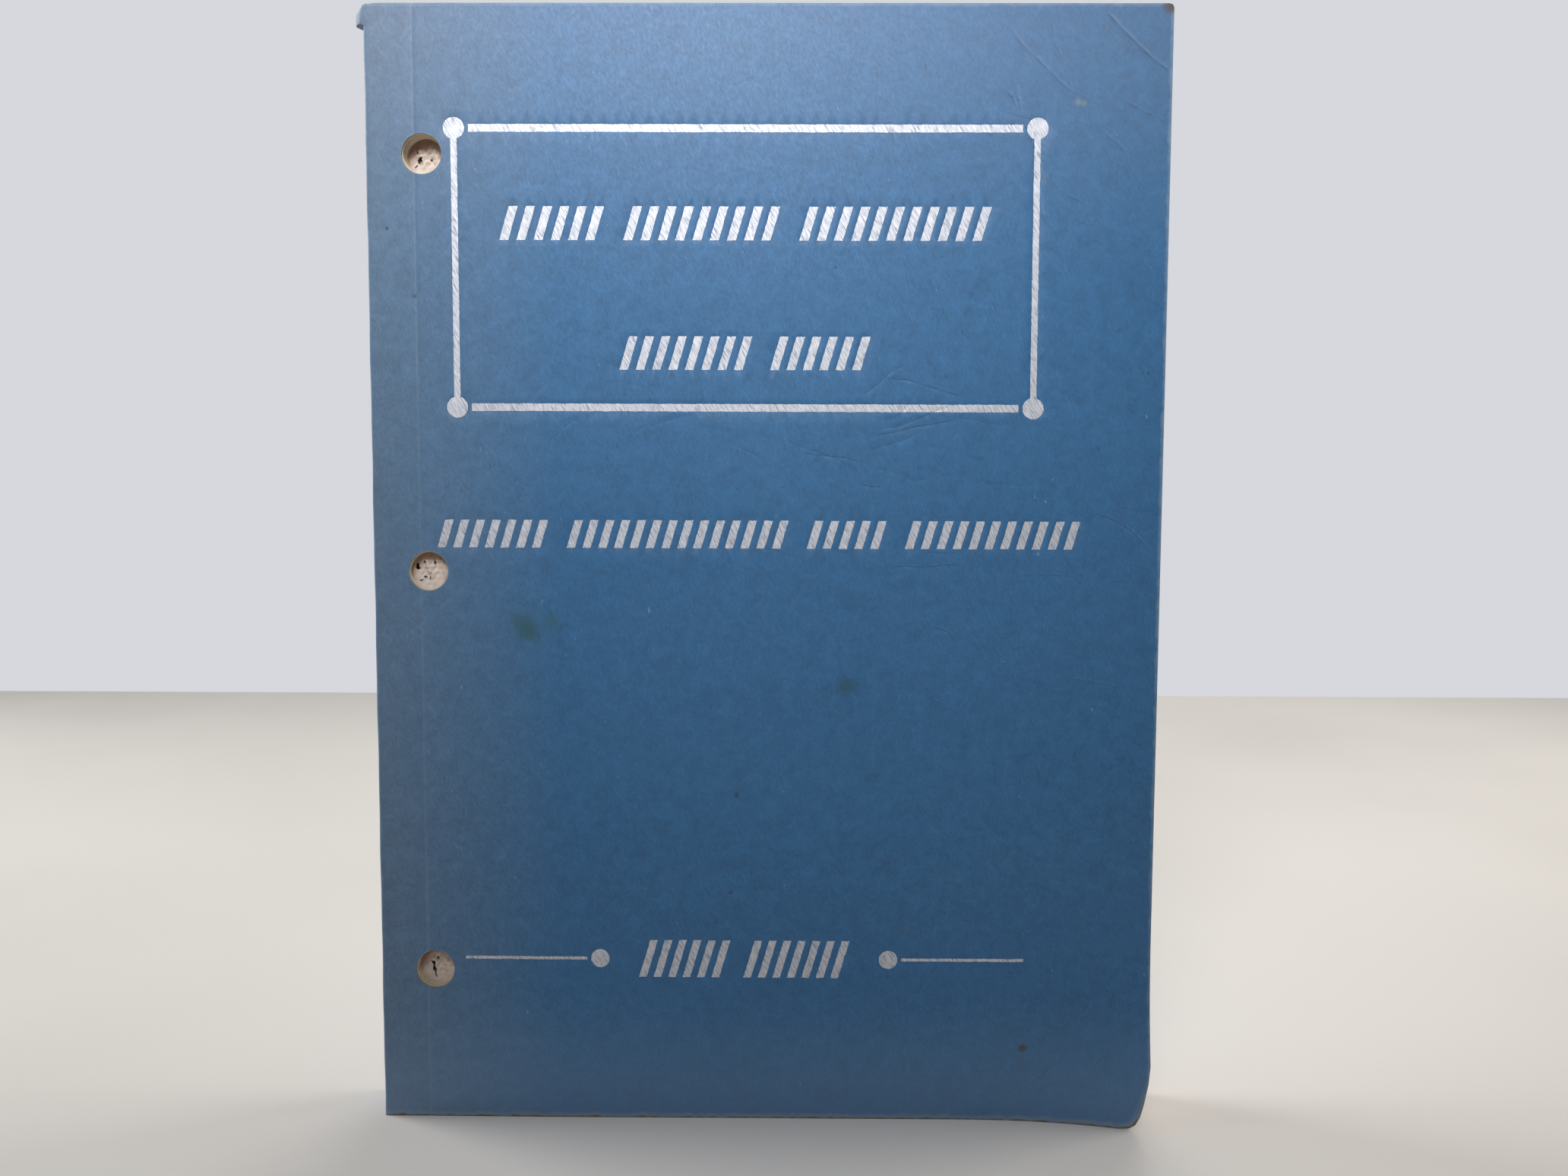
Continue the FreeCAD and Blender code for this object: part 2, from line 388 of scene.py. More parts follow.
@dataclass(frozen=True)
class BoardCore(Finish):
    """Unbleached board behind the coating: the inside of the cover and its cut
    edges, matt and fibrous, browned by air where it was trimmed."""

    name: str
    clean: str
    browned: str

    def surface(self, tree: Tree) -> Socket:
        """Builds the board's fibres and clouds.

        Args:
            tree: an empty node tree.

        Returns:
            The shader.
        """
        add = partial(add_node, tree)
        place = add("Attribute", (), "Vector", attribute_name="place")
        fibre = add("TexNoise", {"Vector": place, "Scale": every(0.714286), "Detail": 4.0, "Roughness": 0.7})
        cloud = add("TexNoise", {"Vector": place, "Scale": every(28.5714), "Detail": 3.0})
        colour = wash(tree, self.clean, self.browned, cloud)
        colour = shaded(tree, colour, fibre, (0.3, 0.7), (0.86, 1.1))
        bump = add("Bump", {"Height": fibre, "Strength": 0.4, "Distance": 0.03 * MM})
        return add("BsdfPrincipled", {"Base Color": colour, "Roughness": 0.9, "IOR": 1.45, "Normal": bump})


@dataclass(frozen=True)
class StampedFoil(Finish):
    """Vacuum-metallised aluminium foil, hot-stamped on grained card.

    It shines like brushed metal, and breaks along the card's leaning grain,
    where hairlines of blue show through.
    """

    name: ClassVar[str] = "aluminium_foil_hot_stamped"
    metal: str = "#e3e5ec"
    dull: str = "#b0b6c3"
    card: str = "#4a6d95"
    streak_long: float = 1.9 * MM
    streak_wide: float = 0.22 * MM
    streak_lean: float = 30.0

    def surface(self, tree: Tree) -> Socket:
        """Builds the foil, its tarnish and its cracks.

        Args:
            tree: an empty node tree.

        Returns:
            The shader.
        """
        add = partial(add_node, tree)
        place = add("Attribute", (), "Vector", attribute_name="place")
        along = leaning(tree, place, self.streak_lean, self.streak_wide, self.streak_long)
        streaks = add("TexNoise", {"Vector": along, "Scale": 0.8, "Detail": 4.0, "Roughness": 0.65})
        cracked = add("MapRange", (streaks, 0.33, 0.45, 0.62, 0.0), interpolation_type="SMOOTHSTEP")
        colour = wash(tree, self.metal, self.dull, streaks, (0.42, 0.60), (0.7, 0.0))
        colour = wash(tree, colour, self.card, cracked)
        metal = add("MapRange", (cracked, 0.0, 1.0, 0.62, 0.0))
        rough = add("MapRange", (streaks, 0.3, 0.7, 0.75, 0.55))
        bump = add("Bump", {"Height": streaks, "Strength": 0.5, "Distance": 0.04 * MM})
        return add("BsdfPrincipled", {
            "Base Color": colour, "Metallic": metal, "Roughness": rough, "Normal": bump,
        })


@dataclass(frozen=True)
class PrintedBookPaper(Finish):
    """Uncoated groundwood book paper, printed and yellowed.

    It is matt with a faint fibre mottle, browner towards its edges, and is
    printed with rows of plain grey bars in place of text.
    """

    name: ClassVar[str] = "groundwood_paper_uncoated_printed"
    sheet: str = "#dccfae"
    toned: str = "#b99d6c"
    ink: str = "#4c473f"
    row_pitch: float = 4.3 * MM
    word: float = 7.5 * MM
    left: float = 25 * MM
    right: float = 146 * MM
    low: float = 20 * MM
    high: float = 204 * MM

    def surface(self, tree: Tree) -> Socket:
        """Builds the toned paper and the rows of bars on it.

        Args:
            tree: an empty node tree.

        Returns:
            The shader.
        """
        add = partial(add_node, tree)
        place = add("Attribute", (), "Vector", attribute_name="place")
        edge = add("Attribute", (), "Fac", attribute_name="edge")
        across = add("SeparateXYZ", (place,))
        up = across.node.outputs["Z"]
        fibre = add("TexNoise", {"Vector": place, "Scale": every(1.11111), "Detail": 4.0})
        cloud = add("TexNoise", {"Vector": place, "Scale": every(25.0), "Detail": 3.0})
        uneven = add("Math", (cloud, -9 * MM, edge), operation="MULTIPLY_ADD")
        paper = wash(tree, self.sheet, self.toned, uneven, (-6 * MM, 9 * MM), (0.8, 0.05), soft=True)

        # Rows of bars: which row, how far up in it, and where its words fall.
        rows = add("Math", (up, self.row_pitch), operation="DIVIDE")
        row = add("Math", (rows,), operation="FLOOR")
        rise = add("Math", (rows,), operation="FRACT")
        chance = add("TexWhiteNoise", {"W": row}, noise_dimensions="1D")
        ends = (chance, 0.0, 1.0, self.right - 46 * MM, self.right + 40 * MM, 5.0)
        row_end = add("MapRange", ends, interpolation_type="STEPPED")
        stop = add("Math", (row_end, self.right), operation="MINIMUM")
        word_place = add("Math", (across, self.word), operation="DIVIDE")
        words = add("CombineXYZ", (word_place, row))
        spacing = add("TexNoise", {"Vector": words, "Scale": 2.3, "Detail": 0.0})
        tests = (
            (spacing, "GREATER_THAN", 0.43), (rise, "GREATER_THAN", 0.28), (rise, "LESS_THAN", 0.62),
            (across, "GREATER_THAN", self.left), (across, "LESS_THAN", stop),
            (up, "GREATER_THAN", self.low), (up, "LESS_THAN", self.high), (chance, "GREATER_THAN", 0.09),
        )
        printed = 1.0
        for value, operation, limit in tests:
            test = add("Math", (value, limit), operation=operation)
            printed = add("Math", (test, printed), operation="MULTIPLY")
        colour = wash(tree, paper, self.ink, printed, (0.0, 1.0), (0.0, 0.62))
        bump = add("Bump", {"Height": fibre, "Strength": 0.25, "Distance": 0.02 * MM})
        return add("BsdfPrincipled", {"Base Color": colour, "Roughness": 0.88, "IOR": 1.45, "Normal": bump})


@dataclass(frozen=True)
class TornBookPaper(Finish):
    """Book paper torn by a blunt punch: soft white fibres at the tear, browned
    towards the hole's wall and most under its top: partly toning, partly painted shade."""

    name: ClassVar[str] = "groundwood_paper_torn"
    fibre: str = "#e8dcd2"
    # Brown near the hole's wall and under its top: partly toning, partly painted shade.
    browned: str = "#9a7560"

    def surface(self, tree: Tree) -> Socket:
        """Builds the torn fibres and the dirt on them.

        Args:
            tree: an empty node tree.

        Returns:
            The shader.
        """
        add = partial(add_node, tree)
        place = add("Attribute", (), "Vector", attribute_name="place")
        edge, high = (add("Attribute", (), "Fac", attribute_name=mark) for mark in ("edge", "high"))
        fluff = add("TexNoise", {"Vector": place, "Scale": every(0.666667), "Detail": 4.0})
        blot = add("TexNoise", {"Vector": place, "Scale": every(3.0303), "Detail": 3.0})
        # Browner near the hole's wall: partly toning, partly painted shade.
        near_wall = add("Math", (blot, 2.4 * MM, edge), operation="MULTIPLY_ADD")
        # Browner under the upper wall: painted shade where the wall shades the paper, over some toning.
        shade_near_top = add("Math", (high, -1.9 * MM, near_wall), operation="MULTIPLY_ADD")
        span = (0.2 * MM, 3.5 * MM)
        colour = wash(tree, self.fibre, self.browned, shade_near_top, span, (0.95, 0.12), soft=True)
        bump = add("Bump", {"Height": fluff, "Strength": 0.6, "Distance": 0.06 * MM})
        return add("BsdfPrincipled", {"Base Color": colour, "Roughness": 0.95, "IOR": 1.45, "Normal": bump})


@dataclass(frozen=True)
class GuillotinedEdge(Finish):
    """Guillotined and punched edges of the leaves: a stack of thin cream lines,
    toned brown by air and handling."""

    name: ClassVar[str] = "groundwood_paper_guillotined"
    pale: str = "#f8f1ec"
    brown: str = "#c0a798"
    leaf: float = 0.1 * MM

    def surface(self, tree: Tree) -> Socket:
        """Builds the lines of leaf after leaf.

        Args:
            tree: an empty node tree.

        Returns:
            The shader.
        """
        add = partial(add_node, tree)
        where = add("TexCoord", (), "Object")
        # Stretched along the leaves, so each leaf is one thin line.
        stretch = (every(55.5556), 0.35 / self.leaf, every(55.5556))
        layers = add("VectorMath", (where, stretch), operation="MULTIPLY")
        lines = add("TexNoise", {"Vector": layers, "Scale": 1.0, "Detail": 5.0, "Roughness": 0.75})
        cloud = add("TexNoise", {"Vector": where, "Scale": every(16.6667), "Detail": 3.0})
        mixed = add("Math", (lines, cloud), operation="MULTIPLY")
        colour = wash(tree, self.pale, self.brown, mixed, (0.12, 0.42), (0.55, 0.0))
        bump = add("Bump", {"Height": lines, "Strength": 0.5, "Distance": 0.04 * MM})
        return add("BsdfPrincipled", {"Base Color": colour, "Roughness": 0.92, "IOR": 1.45, "Normal": bump})


@dataclass(frozen=True)
class SpineGlue(Finish):
    """Brushed hide glue, dried amber and slightly glossy."""

    name: ClassVar[str] = "hide_glue_brushed"
    thin: str = "#b98e4e"
    thick: str = "#7a5426"

    def surface(self, tree: Tree) -> Socket:
        """Builds the glue with the brush's strokes in it.

        Args:
            tree: an empty node tree.

        Returns:
            The shader.
        """
        add = partial(add_node, tree)
        where = add("TexCoord", (), "Object")
        stretch = (every(0.666667), every(0.666667), every(8.33333))
        strokes = add("VectorMath", (where, stretch), operation="MULTIPLY")
        brush = add("TexNoise", {"Vector": strokes, "Scale": 1.0, "Detail": 3.0})
        colour = wash(tree, self.thin, self.thick, brush)
        bump = add("Bump", {"Height": brush, "Strength": 0.5, "Distance": 0.05 * MM})
        return add("BsdfPrincipled", {"Base Color": colour, "Roughness": 0.35, "IOR": 1.52, "Normal": bump})


@dataclass(frozen=True)
class StitchingWire(Finish):
    """Drawn and tinned steel stitching wire, with fine draw lines and a little
    rust where it meets damp paper."""

    name: ClassVar[str] = "steel_wire_drawn_and_tinned"
    steel: str = "#b8b6b0"
    rust: str = "#6e4426"

    def surface(self, tree: Tree) -> Socket:
        """Builds the bright wire and its rust.

        Args:
            tree: an empty node tree.

        Returns:
            The shader.
        """
        add = partial(add_node, tree)
        where = add("TexCoord", (), "Object")
        bloom = add("TexNoise", {"Vector": where, "Scale": every(0.555556), "Detail": 4.0})
        rusty = add("MapRange", (bloom, 0.52, 0.66, 0.0, 1.0))
        colour = wash(tree, self.steel, self.rust, rusty)
        metal = add("Math", (1.0, rusty), operation="SUBTRACT")
        rough = add("MapRange", (rusty, 0.0, 1.0, 0.32, 0.85))
        return add("BsdfPrincipled", {"Base Color": colour, "Metallic": metal, "Roughness": rough})


@dataclass(frozen=True)
class PressedBoardFloor(Finish):
    """Pale melamine-faced board under the book, pressed smooth."""

    name: ClassVar[str] = "melamine_board_pressed"
    colour: str = "#f6f1ea"

    def surface(self, tree: Tree) -> Socket:
        """Builds the board's even face and its slightly uneven gloss.

        Args:
            tree: an empty node tree.

        Returns:
            The shader.
        """
        add = partial(add_node, tree)
        where = add("TexCoord", (), "Object")
        haze = add("TexNoise", {"Vector": where, "Scale": every(111.111), "Detail": 3.0})
        rough = add("MapRange", (haze, 0.3, 0.7, 0.38, 0.5))
        return add("BsdfPrincipled", {"Base Color": linear(self.colour), "Roughness": rough, "IOR": 1.5})


# --------------------------------------------------------------------- flat sheets


@dataclass
class FlatSheet:
    """A cut sheet lying flat, as triangles, before it gets thickness and shape."""

    points: np.ndarray
    triangles: np.ndarray

    def centres(self) -> np.ndarray:
        """Gives the middle of each triangle."""
        return self.points[self.triangles].mean(axis=1)

    def part(self, wanted: np.ndarray) -> "FlatSheet":
        """Keeps some triangles and the points that they use.

        Args:
            wanted: one truth value for each triangle.

        Returns:
            The smaller sheet.
        """
        triangles = self.triangles[wanted]
        used, numbers = np.unique(triangles, return_inverse=True)
        return FlatSheet(self.points[used], numbers.reshape(-1, 3))

    def rim(self) -> list[tuple[int, int]]:
        """Finds the edges that only one triangle uses.

        Returns:
            Pairs of point numbers, turning as their triangle does.
        """
        count: dict[tuple[int, int], int] = defaultdict(int)
        turns = []
        for a, b, c in self.triangles.tolist():
            for start, end in ((a, b), (b, c), (c, a)):
                count[(min(start, end), max(start, end))] += 1
                turns.append((start, end))
        return [(s, e) for s, e in turns if count[(min(s, e), max(s, e))] == 1]


def clipped(values: np.ndarray) -> np.ndarray:
    """Keeps shares between 0 and 1."""
    return np.clip(values, 0, 1)


def stacked(across: np.ndarray, deep: np.ndarray | float, up: np.ndarray) -> np.ndarray:
    """Joins coordinates into points, and spreads a single number over all of them."""
    return np.column_stack(np.broadcast_arrays(across, deep, up))


def circle(across: float, up: float, radius: float, sides: int = 40) -> np.ndarray:
    """Gives the points of a circle.

    Args:
        across: the middle's first coordinate.
        up: the middle's second coordinate.
        radius: the circle's radius.
        sides: the number of points.

    Returns:
        An array of points.
    """
    turn = np.linspace(0, 2 * math.pi, sides, endpoint=False)
    return np.column_stack([across + radius * np.cos(turn), up + radius * np.sin(turn)])


def inside(points: np.ndarray, loop: np.ndarray) -> np.ndarray:
    """Tests which points lie in a closed outline.

    Args:
        points: the points to test.
        loop: the outline's corners in order.

    Returns:
        One truth value for each point.
    """
    result = np.zeros(len(points), bool)
    near = np.all((points >= loop.min(0)) & (points <= loop.max(0)), axis=1)
    px, py = points[near].T
    hit = np.zeros(len(px), bool)
    for (x0, y0), (x1, y1) in zip(loop, np.roll(loop, -1, axis=0)):
        if y0 == y1:
            continue
        crosses = (y0 > py) != (y1 > py)
        hit ^= crosses & (px < x0 + (py - y0) * (x1 - x0) / (y1 - y0))
    result[near] = hit
    return result


def covered(points: np.ndarray, loops: list[np.ndarray]) -> np.ndarray:
    """Tests which points lie in any of some closed outlines.

    Args:
        points: the points to test.
        loops: the outlines.

    Returns:
        One truth value for each point.
    """
    result = np.zeros(len(points), bool)
    for loop in loops:
        result |= inside(points, loop)
    return result


def grown(loop: np.ndarray, by: float) -> np.ndarray:
    """Moves every side of a closed outline outward.

    Args:
        loop: the outline's corners in order.
        by: how far each side moves.

    Returns:
        The larger outline.
    """
    before, after = np.roll(loop, 1, axis=0), np.roll(loop, -1, axis=0)
    area = np.sum(loop[:, 0] * after[:, 1] - after[:, 0] * loop[:, 1])
    first, second = loop - before, after - loop
    first /= np.linalg.norm(first, axis=1)[:, None]
    second /= np.linalg.norm(second, axis=1)[:, None]
    turn = 1 if area > 0 else -1
    out = np.column_stack([first[:, 1] + second[:, 1], -first[:, 0] - second[:, 0]]) * turn
    share = 1 + np.sum(first * second, axis=1)
    return loop + out * (by / np.maximum(share, 0.5))[:, None]


def distance_to(points: np.ndarray, path: np.ndarray) -> np.ndarray:
    """Measures how far points are from a line of straight runs.

    Args:
        points: the points to measure from.
        path: the line's points in order.

    Returns:
        One distance for each point.
    """
    nearest = np.full(len(points), 1e9)
    for start, end in zip(path[:-1], path[1:]):
        run = end - start
        share = clipped((points - start) @ run / (run @ run))
        gap = np.linalg.norm(points - start - share[:, None] * run, axis=1)
        nearest = np.minimum(nearest, gap)
    return nearest


def divided(loop: np.ndarray, step: float) -> np.ndarray:
    """Adds points along a closed outline's long sides.

    Args:
        loop: the outline's corners in order.
        step: the longest side that may stay.

    Returns:
        The outline with more points.
    """
    runs = []
    for start, end in zip(loop, np.roll(loop, -1, axis=0)):
        count = max(1, math.ceil(np.linalg.norm(end - start) / step))
        share = np.arange(count)[:, None] / count
        runs.append(start + share * (end - start))
    return np.concatenate(runs)


def cut_sheet(outline: np.ndarray, holes: list[np.ndarray], lines: list[np.ndarray],
              loops: list[np.ndarray], scatter: np.ndarray) -> FlatSheet:
    """Cuts a flat sheet and fills it with triangles.

    Args:
        outline: the sheet's corners in order.
        holes: closed outlines that are cut away.
        lines: open lines that the triangles' sides have to follow.
        loops: closed lines that the triangles' sides have to follow.
        scatter: more points inside the sheet.

    Returns:
        The sheet.
    """
    points: list[np.ndarray] = []
    edges: list[tuple[int, int]] = []
    closed = [outline, *holes, *loops]
    for number, line in enumerate([*closed, *lines]):
        first, count = sum(len(p) for p in points), len(line)
        runs = count if number < len(closed) else count - 1
        edges += [(first + i, first + (i + 1) % count) for i in range(runs)]
        points.append(line)
    points.append(scatter)
    # The triangulation works in millimetres, where its rounding is harmless.
    flat = [Vector(p / MM) for p in np.concatenate(points)]
    made, _, faces, _, _, _ = delaunay_2d_cdt(flat, edges, [], 0, SAME_POINT_MM)
    sheet = FlatSheet(np.array([tuple(p) for p in made]) * MM, np.array([tuple(f) for f in faces]))
    middles = sheet.centres()
    keep = inside(middles, outline) & ~covered(middles, holes)
    corners = sheet.points[sheet.triangles]
    sides = corners[:, 1:] - corners[:, :1]
    area = np.abs(sides[:, 0, 0] * sides[:, 1, 1] - sides[:, 0, 1] * sides[:, 1, 0])
    return sheet.part(keep & (area > NO_AREA))


def grid(low: tuple[float, float], high: tuple[float, float], step: float) -> np.ndarray:
    """Gives evenly spaced points inside a rectangle, each second row offset.

    Args:
        low: the rectangle's lowest corner.
        high: its highest corner.
        step: the spacing.

    Returns:
        An array of points.
    """
    rows = []
    for number, up in enumerate(np.arange(low[1] + step, high[1] - step / 2, step * 0.9)):
        shift = step / 2 if number % 2 else 0.0
        across = np.arange(low[0] + step + shift, high[0] - step / 2, step)
        rows.append(np.column_stack([across, np.full(len(across), up)]))
    return np.concatenate(rows)


def make_piece(name: str, sheet: FlatSheet, outer: np.ndarray, inner: np.ndarray,
               skins: Skins, marks: dict[str, np.ndarray]) -> Piece:
    """Turns a flat sheet into a closed piece with two faces and a rim.

    Args:
        name: the piece's name.
        sheet: the flat sheet.
        outer: where each of its points lies on the outer face.
        inner: where each of its points lies on the inner face.
        skins: the materials of the outer face, the inner face and the rim.
        marks: values at the sheet's points, by attribute name.

    Returns:
        The new object.
    """
    count = len(sheet.points)
    faces = [tuple(t) for t in sheet.triangles.tolist()]
    slots = [0] * len(faces)
    faces += [(a + count, c + count, b + count) for a, b, c in sheet.triangles.tolist()]
    slots += [1] * len(sheet.triangles)
    rim = sheet.rim()
    faces += [(end, start, start + count, end + count) for start, end in rim]
    slots += [2] * len(rim)
    mesh = bpy.data.meshes.new(name)
    mesh.from_pydata(np.concatenate([outer, inner]).tolist(), [], faces)
    for skin in skins:
        mesh.materials.append(skin)
    mesh.polygons.foreach_set("material_index", slots)
    for label, values in marks.items():
        both = np.concatenate([values, values]).astype(np.float32)
        kind, key = ("FLOAT", "value") if values.ndim == 1 else ("FLOAT_VECTOR", "vector")
        mesh.attributes.new(label, kind, "POINT").data.foreach_set(key, both.ravel())
    shape = bmesh.new()
    shape.from_mesh(mesh)
    bmesh.ops.recalc_face_normals(shape, faces=shape.faces)
    shape.to_mesh(mesh)
    shape.free()
    mesh.shade_smooth()
    mesh.set_sharp_from_angle(angle=SHARP)
    piece = bpy.data.objects.new(name, mesh)
    bpy.context.scene.collection.objects.link(piece)
    log.info("made %s, %d faces", name, len(mesh.polygons))
    return piece


# --------------------------------------------------------------- sizes from the frame


@dataclass(frozen=True)
class Hole:
    """A punched hole, by its place from the spine edge and the tail."""

    across: float
    up: float
    radius: float

    def ring(self, grow: float = 0.0, sides: int = 40) -> np.ndarray:
        """Gives the points of the hole's edge, or of a circle larger by some."""
        return circle(self.across, self.up, self.radius + grow, sides)

    def gap(self, points: np.ndarray) -> np.ndarray:
        """Measures how far points are from the hole's wall, less than 0 inside it."""
        return np.linalg.norm(points - (self.across, self.up), axis=1) - self.radius


@dataclass(frozen=True)
class Section:
    """One folded section: where it lies in the block and where it bends."""

    number: int
    front: float
    back: float
    bend: float

    @property
    def body(self) -> str:
        """Names the CAD body of the section's leaves."""
        return f"leaves_{self.number:02d}"

    @property
    def nodes(self) -> tuple[str, str]:
        """Names the CAD nodes of the section's margin and leaves."""
        return f"section_{self.number:02d}_margin", f"section_{self.number:02d}_leaves"


@dataclass(frozen=True)
class BookSizes:
    """The book's sizes, all read from the frame."""

    spine: float
    width: float
    height: float
    score: float
    card: float
    front: float
    back: float
    holes: tuple[Hole, ...]
    sections: tuple[Section, ...]

    @classmethod
    def read(cls, record: dict) -> "BookSizes":
        """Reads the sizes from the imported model.

        Args:
            record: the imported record.

        Returns:
            The sizes.
        """
        wrap_low, wrap_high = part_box("cover_spine")
        panel_low, panel_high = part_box("cover_front")
        spine = wrap_low.x
        holes = tuple(
            Hole(m["pos_m"][0] - spine, m["pos_m"][2], m["dims"]["r_mm"] * MM)
            for m in record["mounts"] if m["kind"] == "bore"
        )
        sections = []
        for name in sorted(n for n in record["behaviour"]["bodies"] if n.startswith("leaves_")):
            number = int(name.split("_")[1])
            low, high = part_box(f"section_{number:02d}_margin")
            sections.append(Section(number, low.y, high.y, high.x - spine))
        return cls(
            spine=spine, width=panel_high.x - spine, height=wrap_high.z,
            score=wrap_high.x - spine, card=panel_high.y - panel_low.y,
            front=wrap_low.y, back=wrap_high.y, holes=holes, sections=tuple(sections),
        )

    def outer(self, side: Side) -> float:
        """Gives the Y of a cover's outer face."""
        return self.front if side is Side.FRONT else self.back

    def from_holes(self, points: np.ndarray) -> np.ndarray:
        """Measures how far points are from the nearest hole's wall.

        Args:
            points: places from the spine edge and the tail.

        Returns:
            One distance for each point.
        """
        return np.maximum(np.min([hole.gap(points) for hole in self.holes], axis=0), 0)


# -------------------------------------------------------------------------- cover


@dataclass(frozen=True)
class Crease:
    """A fold mark in the card: a shallow valley along a line."""

    path: tuple[tuple[float, float], ...]
    depth: float
    half_width: float = 0.34 * MM
    clear: float = 1.0 * MM
    step: float = 1.6 * MM
    full_depth: float = 0.14 * MM
    lip_width: float = 0.35
    lip_rise: float = 0.45
    # How strongly the upper lip is painted pale as a highlight.
    lip_highlight: float = 0.7
    end_fade: float = 0.15
    end_share: float = 0.3

    def points(self) -> np.ndarray:
        """Gives the line's points, close enough together to bend smoothly.

        Returns:
            The points, from the path's start to its end.
        """
        corners = np.array(self.path)
        runs = [corners[:1]]
        for start, end in zip(corners[:-1], corners[1:]):
            count = max(1, round(np.linalg.norm(end - start) / self.step))
            runs.append(start + np.arange(1, count + 1)[:, None] / count * (end - start))
        return np.concatenate(runs)

    def across(self) -> np.ndarray:
        """Gives the direction square to the line, on its upper side.

        Returns:
            A unit vector.
        """
        run = np.array(self.path[-1]) - np.array(self.path[0])
        square = np.array([-run[1], run[0]]) / np.linalg.norm(run)
        return square if square[1] > 0 else -square

    def lines(self) -> list[np.ndarray]:
        """Gives the lines that hold the crease's shape in the sheet."""
        offsets = (-self.clear, -self.half_width, 0.0, self.half_width, self.clear)
        return [self.points() + self.across() * offset for offset in offsets]

    def shape(self, points: np.ndarray) -> tuple[np.ndarray, np.ndarray]:
        """Works out the crease's relief and its painted shading.

        Args:
            points: places from the spine edge and the tail.

        Returns:
            How far each point sinks, and its painted shading: above 0 for the
            painted shade in the valley, below 0 for the painted highlight on the upper lip.
        """
        gap = distance_to(points, self.points())
        middle = np.array(self.path).mean(axis=0)
        upper = (points - middle) @ self.across() > 0
        valley = clipped(1 - gap / self.half_width)
        lip = np.exp(-((gap - self.half_width) / (self.lip_width * self.half_width)) ** 2) * upper
        start, end = np.array(self.path[0]), np.array(self.path[-1])
        run = end - start
        along = clipped((points - start) @ run / (run @ run))
        # It fades towards its ends and wavers in between.
        fade = clipped(np.minimum(along, 1 - along) / self.end_fade + self.end_share)
        fade = fade * (0.78 + 0.22 * np.sin(along * 23 + self.depth / MM * 90))
        share = min(1.0, self.depth / self.full_depth) * fade
        sunk = self.depth * fade * (valley - self.lip_rise * lip)
        return sunk, share * (valley - self.lip_highlight * lip)


@dataclass(frozen=True)
class WrinkleField:
    """A patch of fine wrinkles, where hands flexed the cover."""

    across: float
    up: float
    half_width: float
    half_height: float
    count: int
    lean: float
    long: float
    spread: float = 16
    wander: float = 0.22
    runs: int = 4
    thin: float = 0.26 * MM

    def creases(self, chance: random.Random) -> list[Crease]:
        """Scatters the patch's wrinkles.

        Args:
            chance: the seeded source of their places.

        Returns:
            The wrinkles.
        """
        made = []
        for _ in range(self.count):
            x = self.across + chance.uniform(-1, 1) * self.half_width
            z = self.up + chance.uniform(-1, 1) * self.half_height
            turn = math.radians(self.lean + chance.gauss(0, self.spread))
            step = self.long * chance.uniform(0.5, 1.4) / self.runs
            path = [(x, z)]
            for _ in range(self.runs):
                turn += chance.gauss(0, self.wander)
                x, z = x + step * math.cos(turn), z + step * math.sin(turn)
                path.append((x, z))
            made.append(Crease(tuple(path), chance.uniform(0.035, 0.085) * MM, self.thin))
        return made


@dataclass
class CornerCurl:
    """A cover's tail corner, bent out by handling and blunted."""

    lift: float = 4.9 * MM
    reach: float = 40 * MM
    power: float = 2.3
    blunt: tuple[tuple[float, float], ...] = (
        (7.0 * MM, 0.0), (4.6 * MM, 0.3 * MM), (3.4 * MM, 1.0 * MM),
        (2.4 * MM, 2.6 * MM), (1.5 * MM, 5.2 * MM), (0.5 * MM, 9.0 * MM), (0.0, 12.5 * MM),
    )

    def height(self, points: np.ndarray, width: float, share: float = 1.0) -> np.ndarray:
        """Works out how far the corner bends out.

        Args:
            points: places from the spine edge and the tail.
            width: the card's width.
            share: a smaller share of the bend, for what lies deeper.

        Returns:
            The distance at each point.
        """
        beyond = (self.reach - (width - points[:, 0]) - points[:, 1]) / self.reach
        return self.lift * share * clipped(beyond) ** self.power


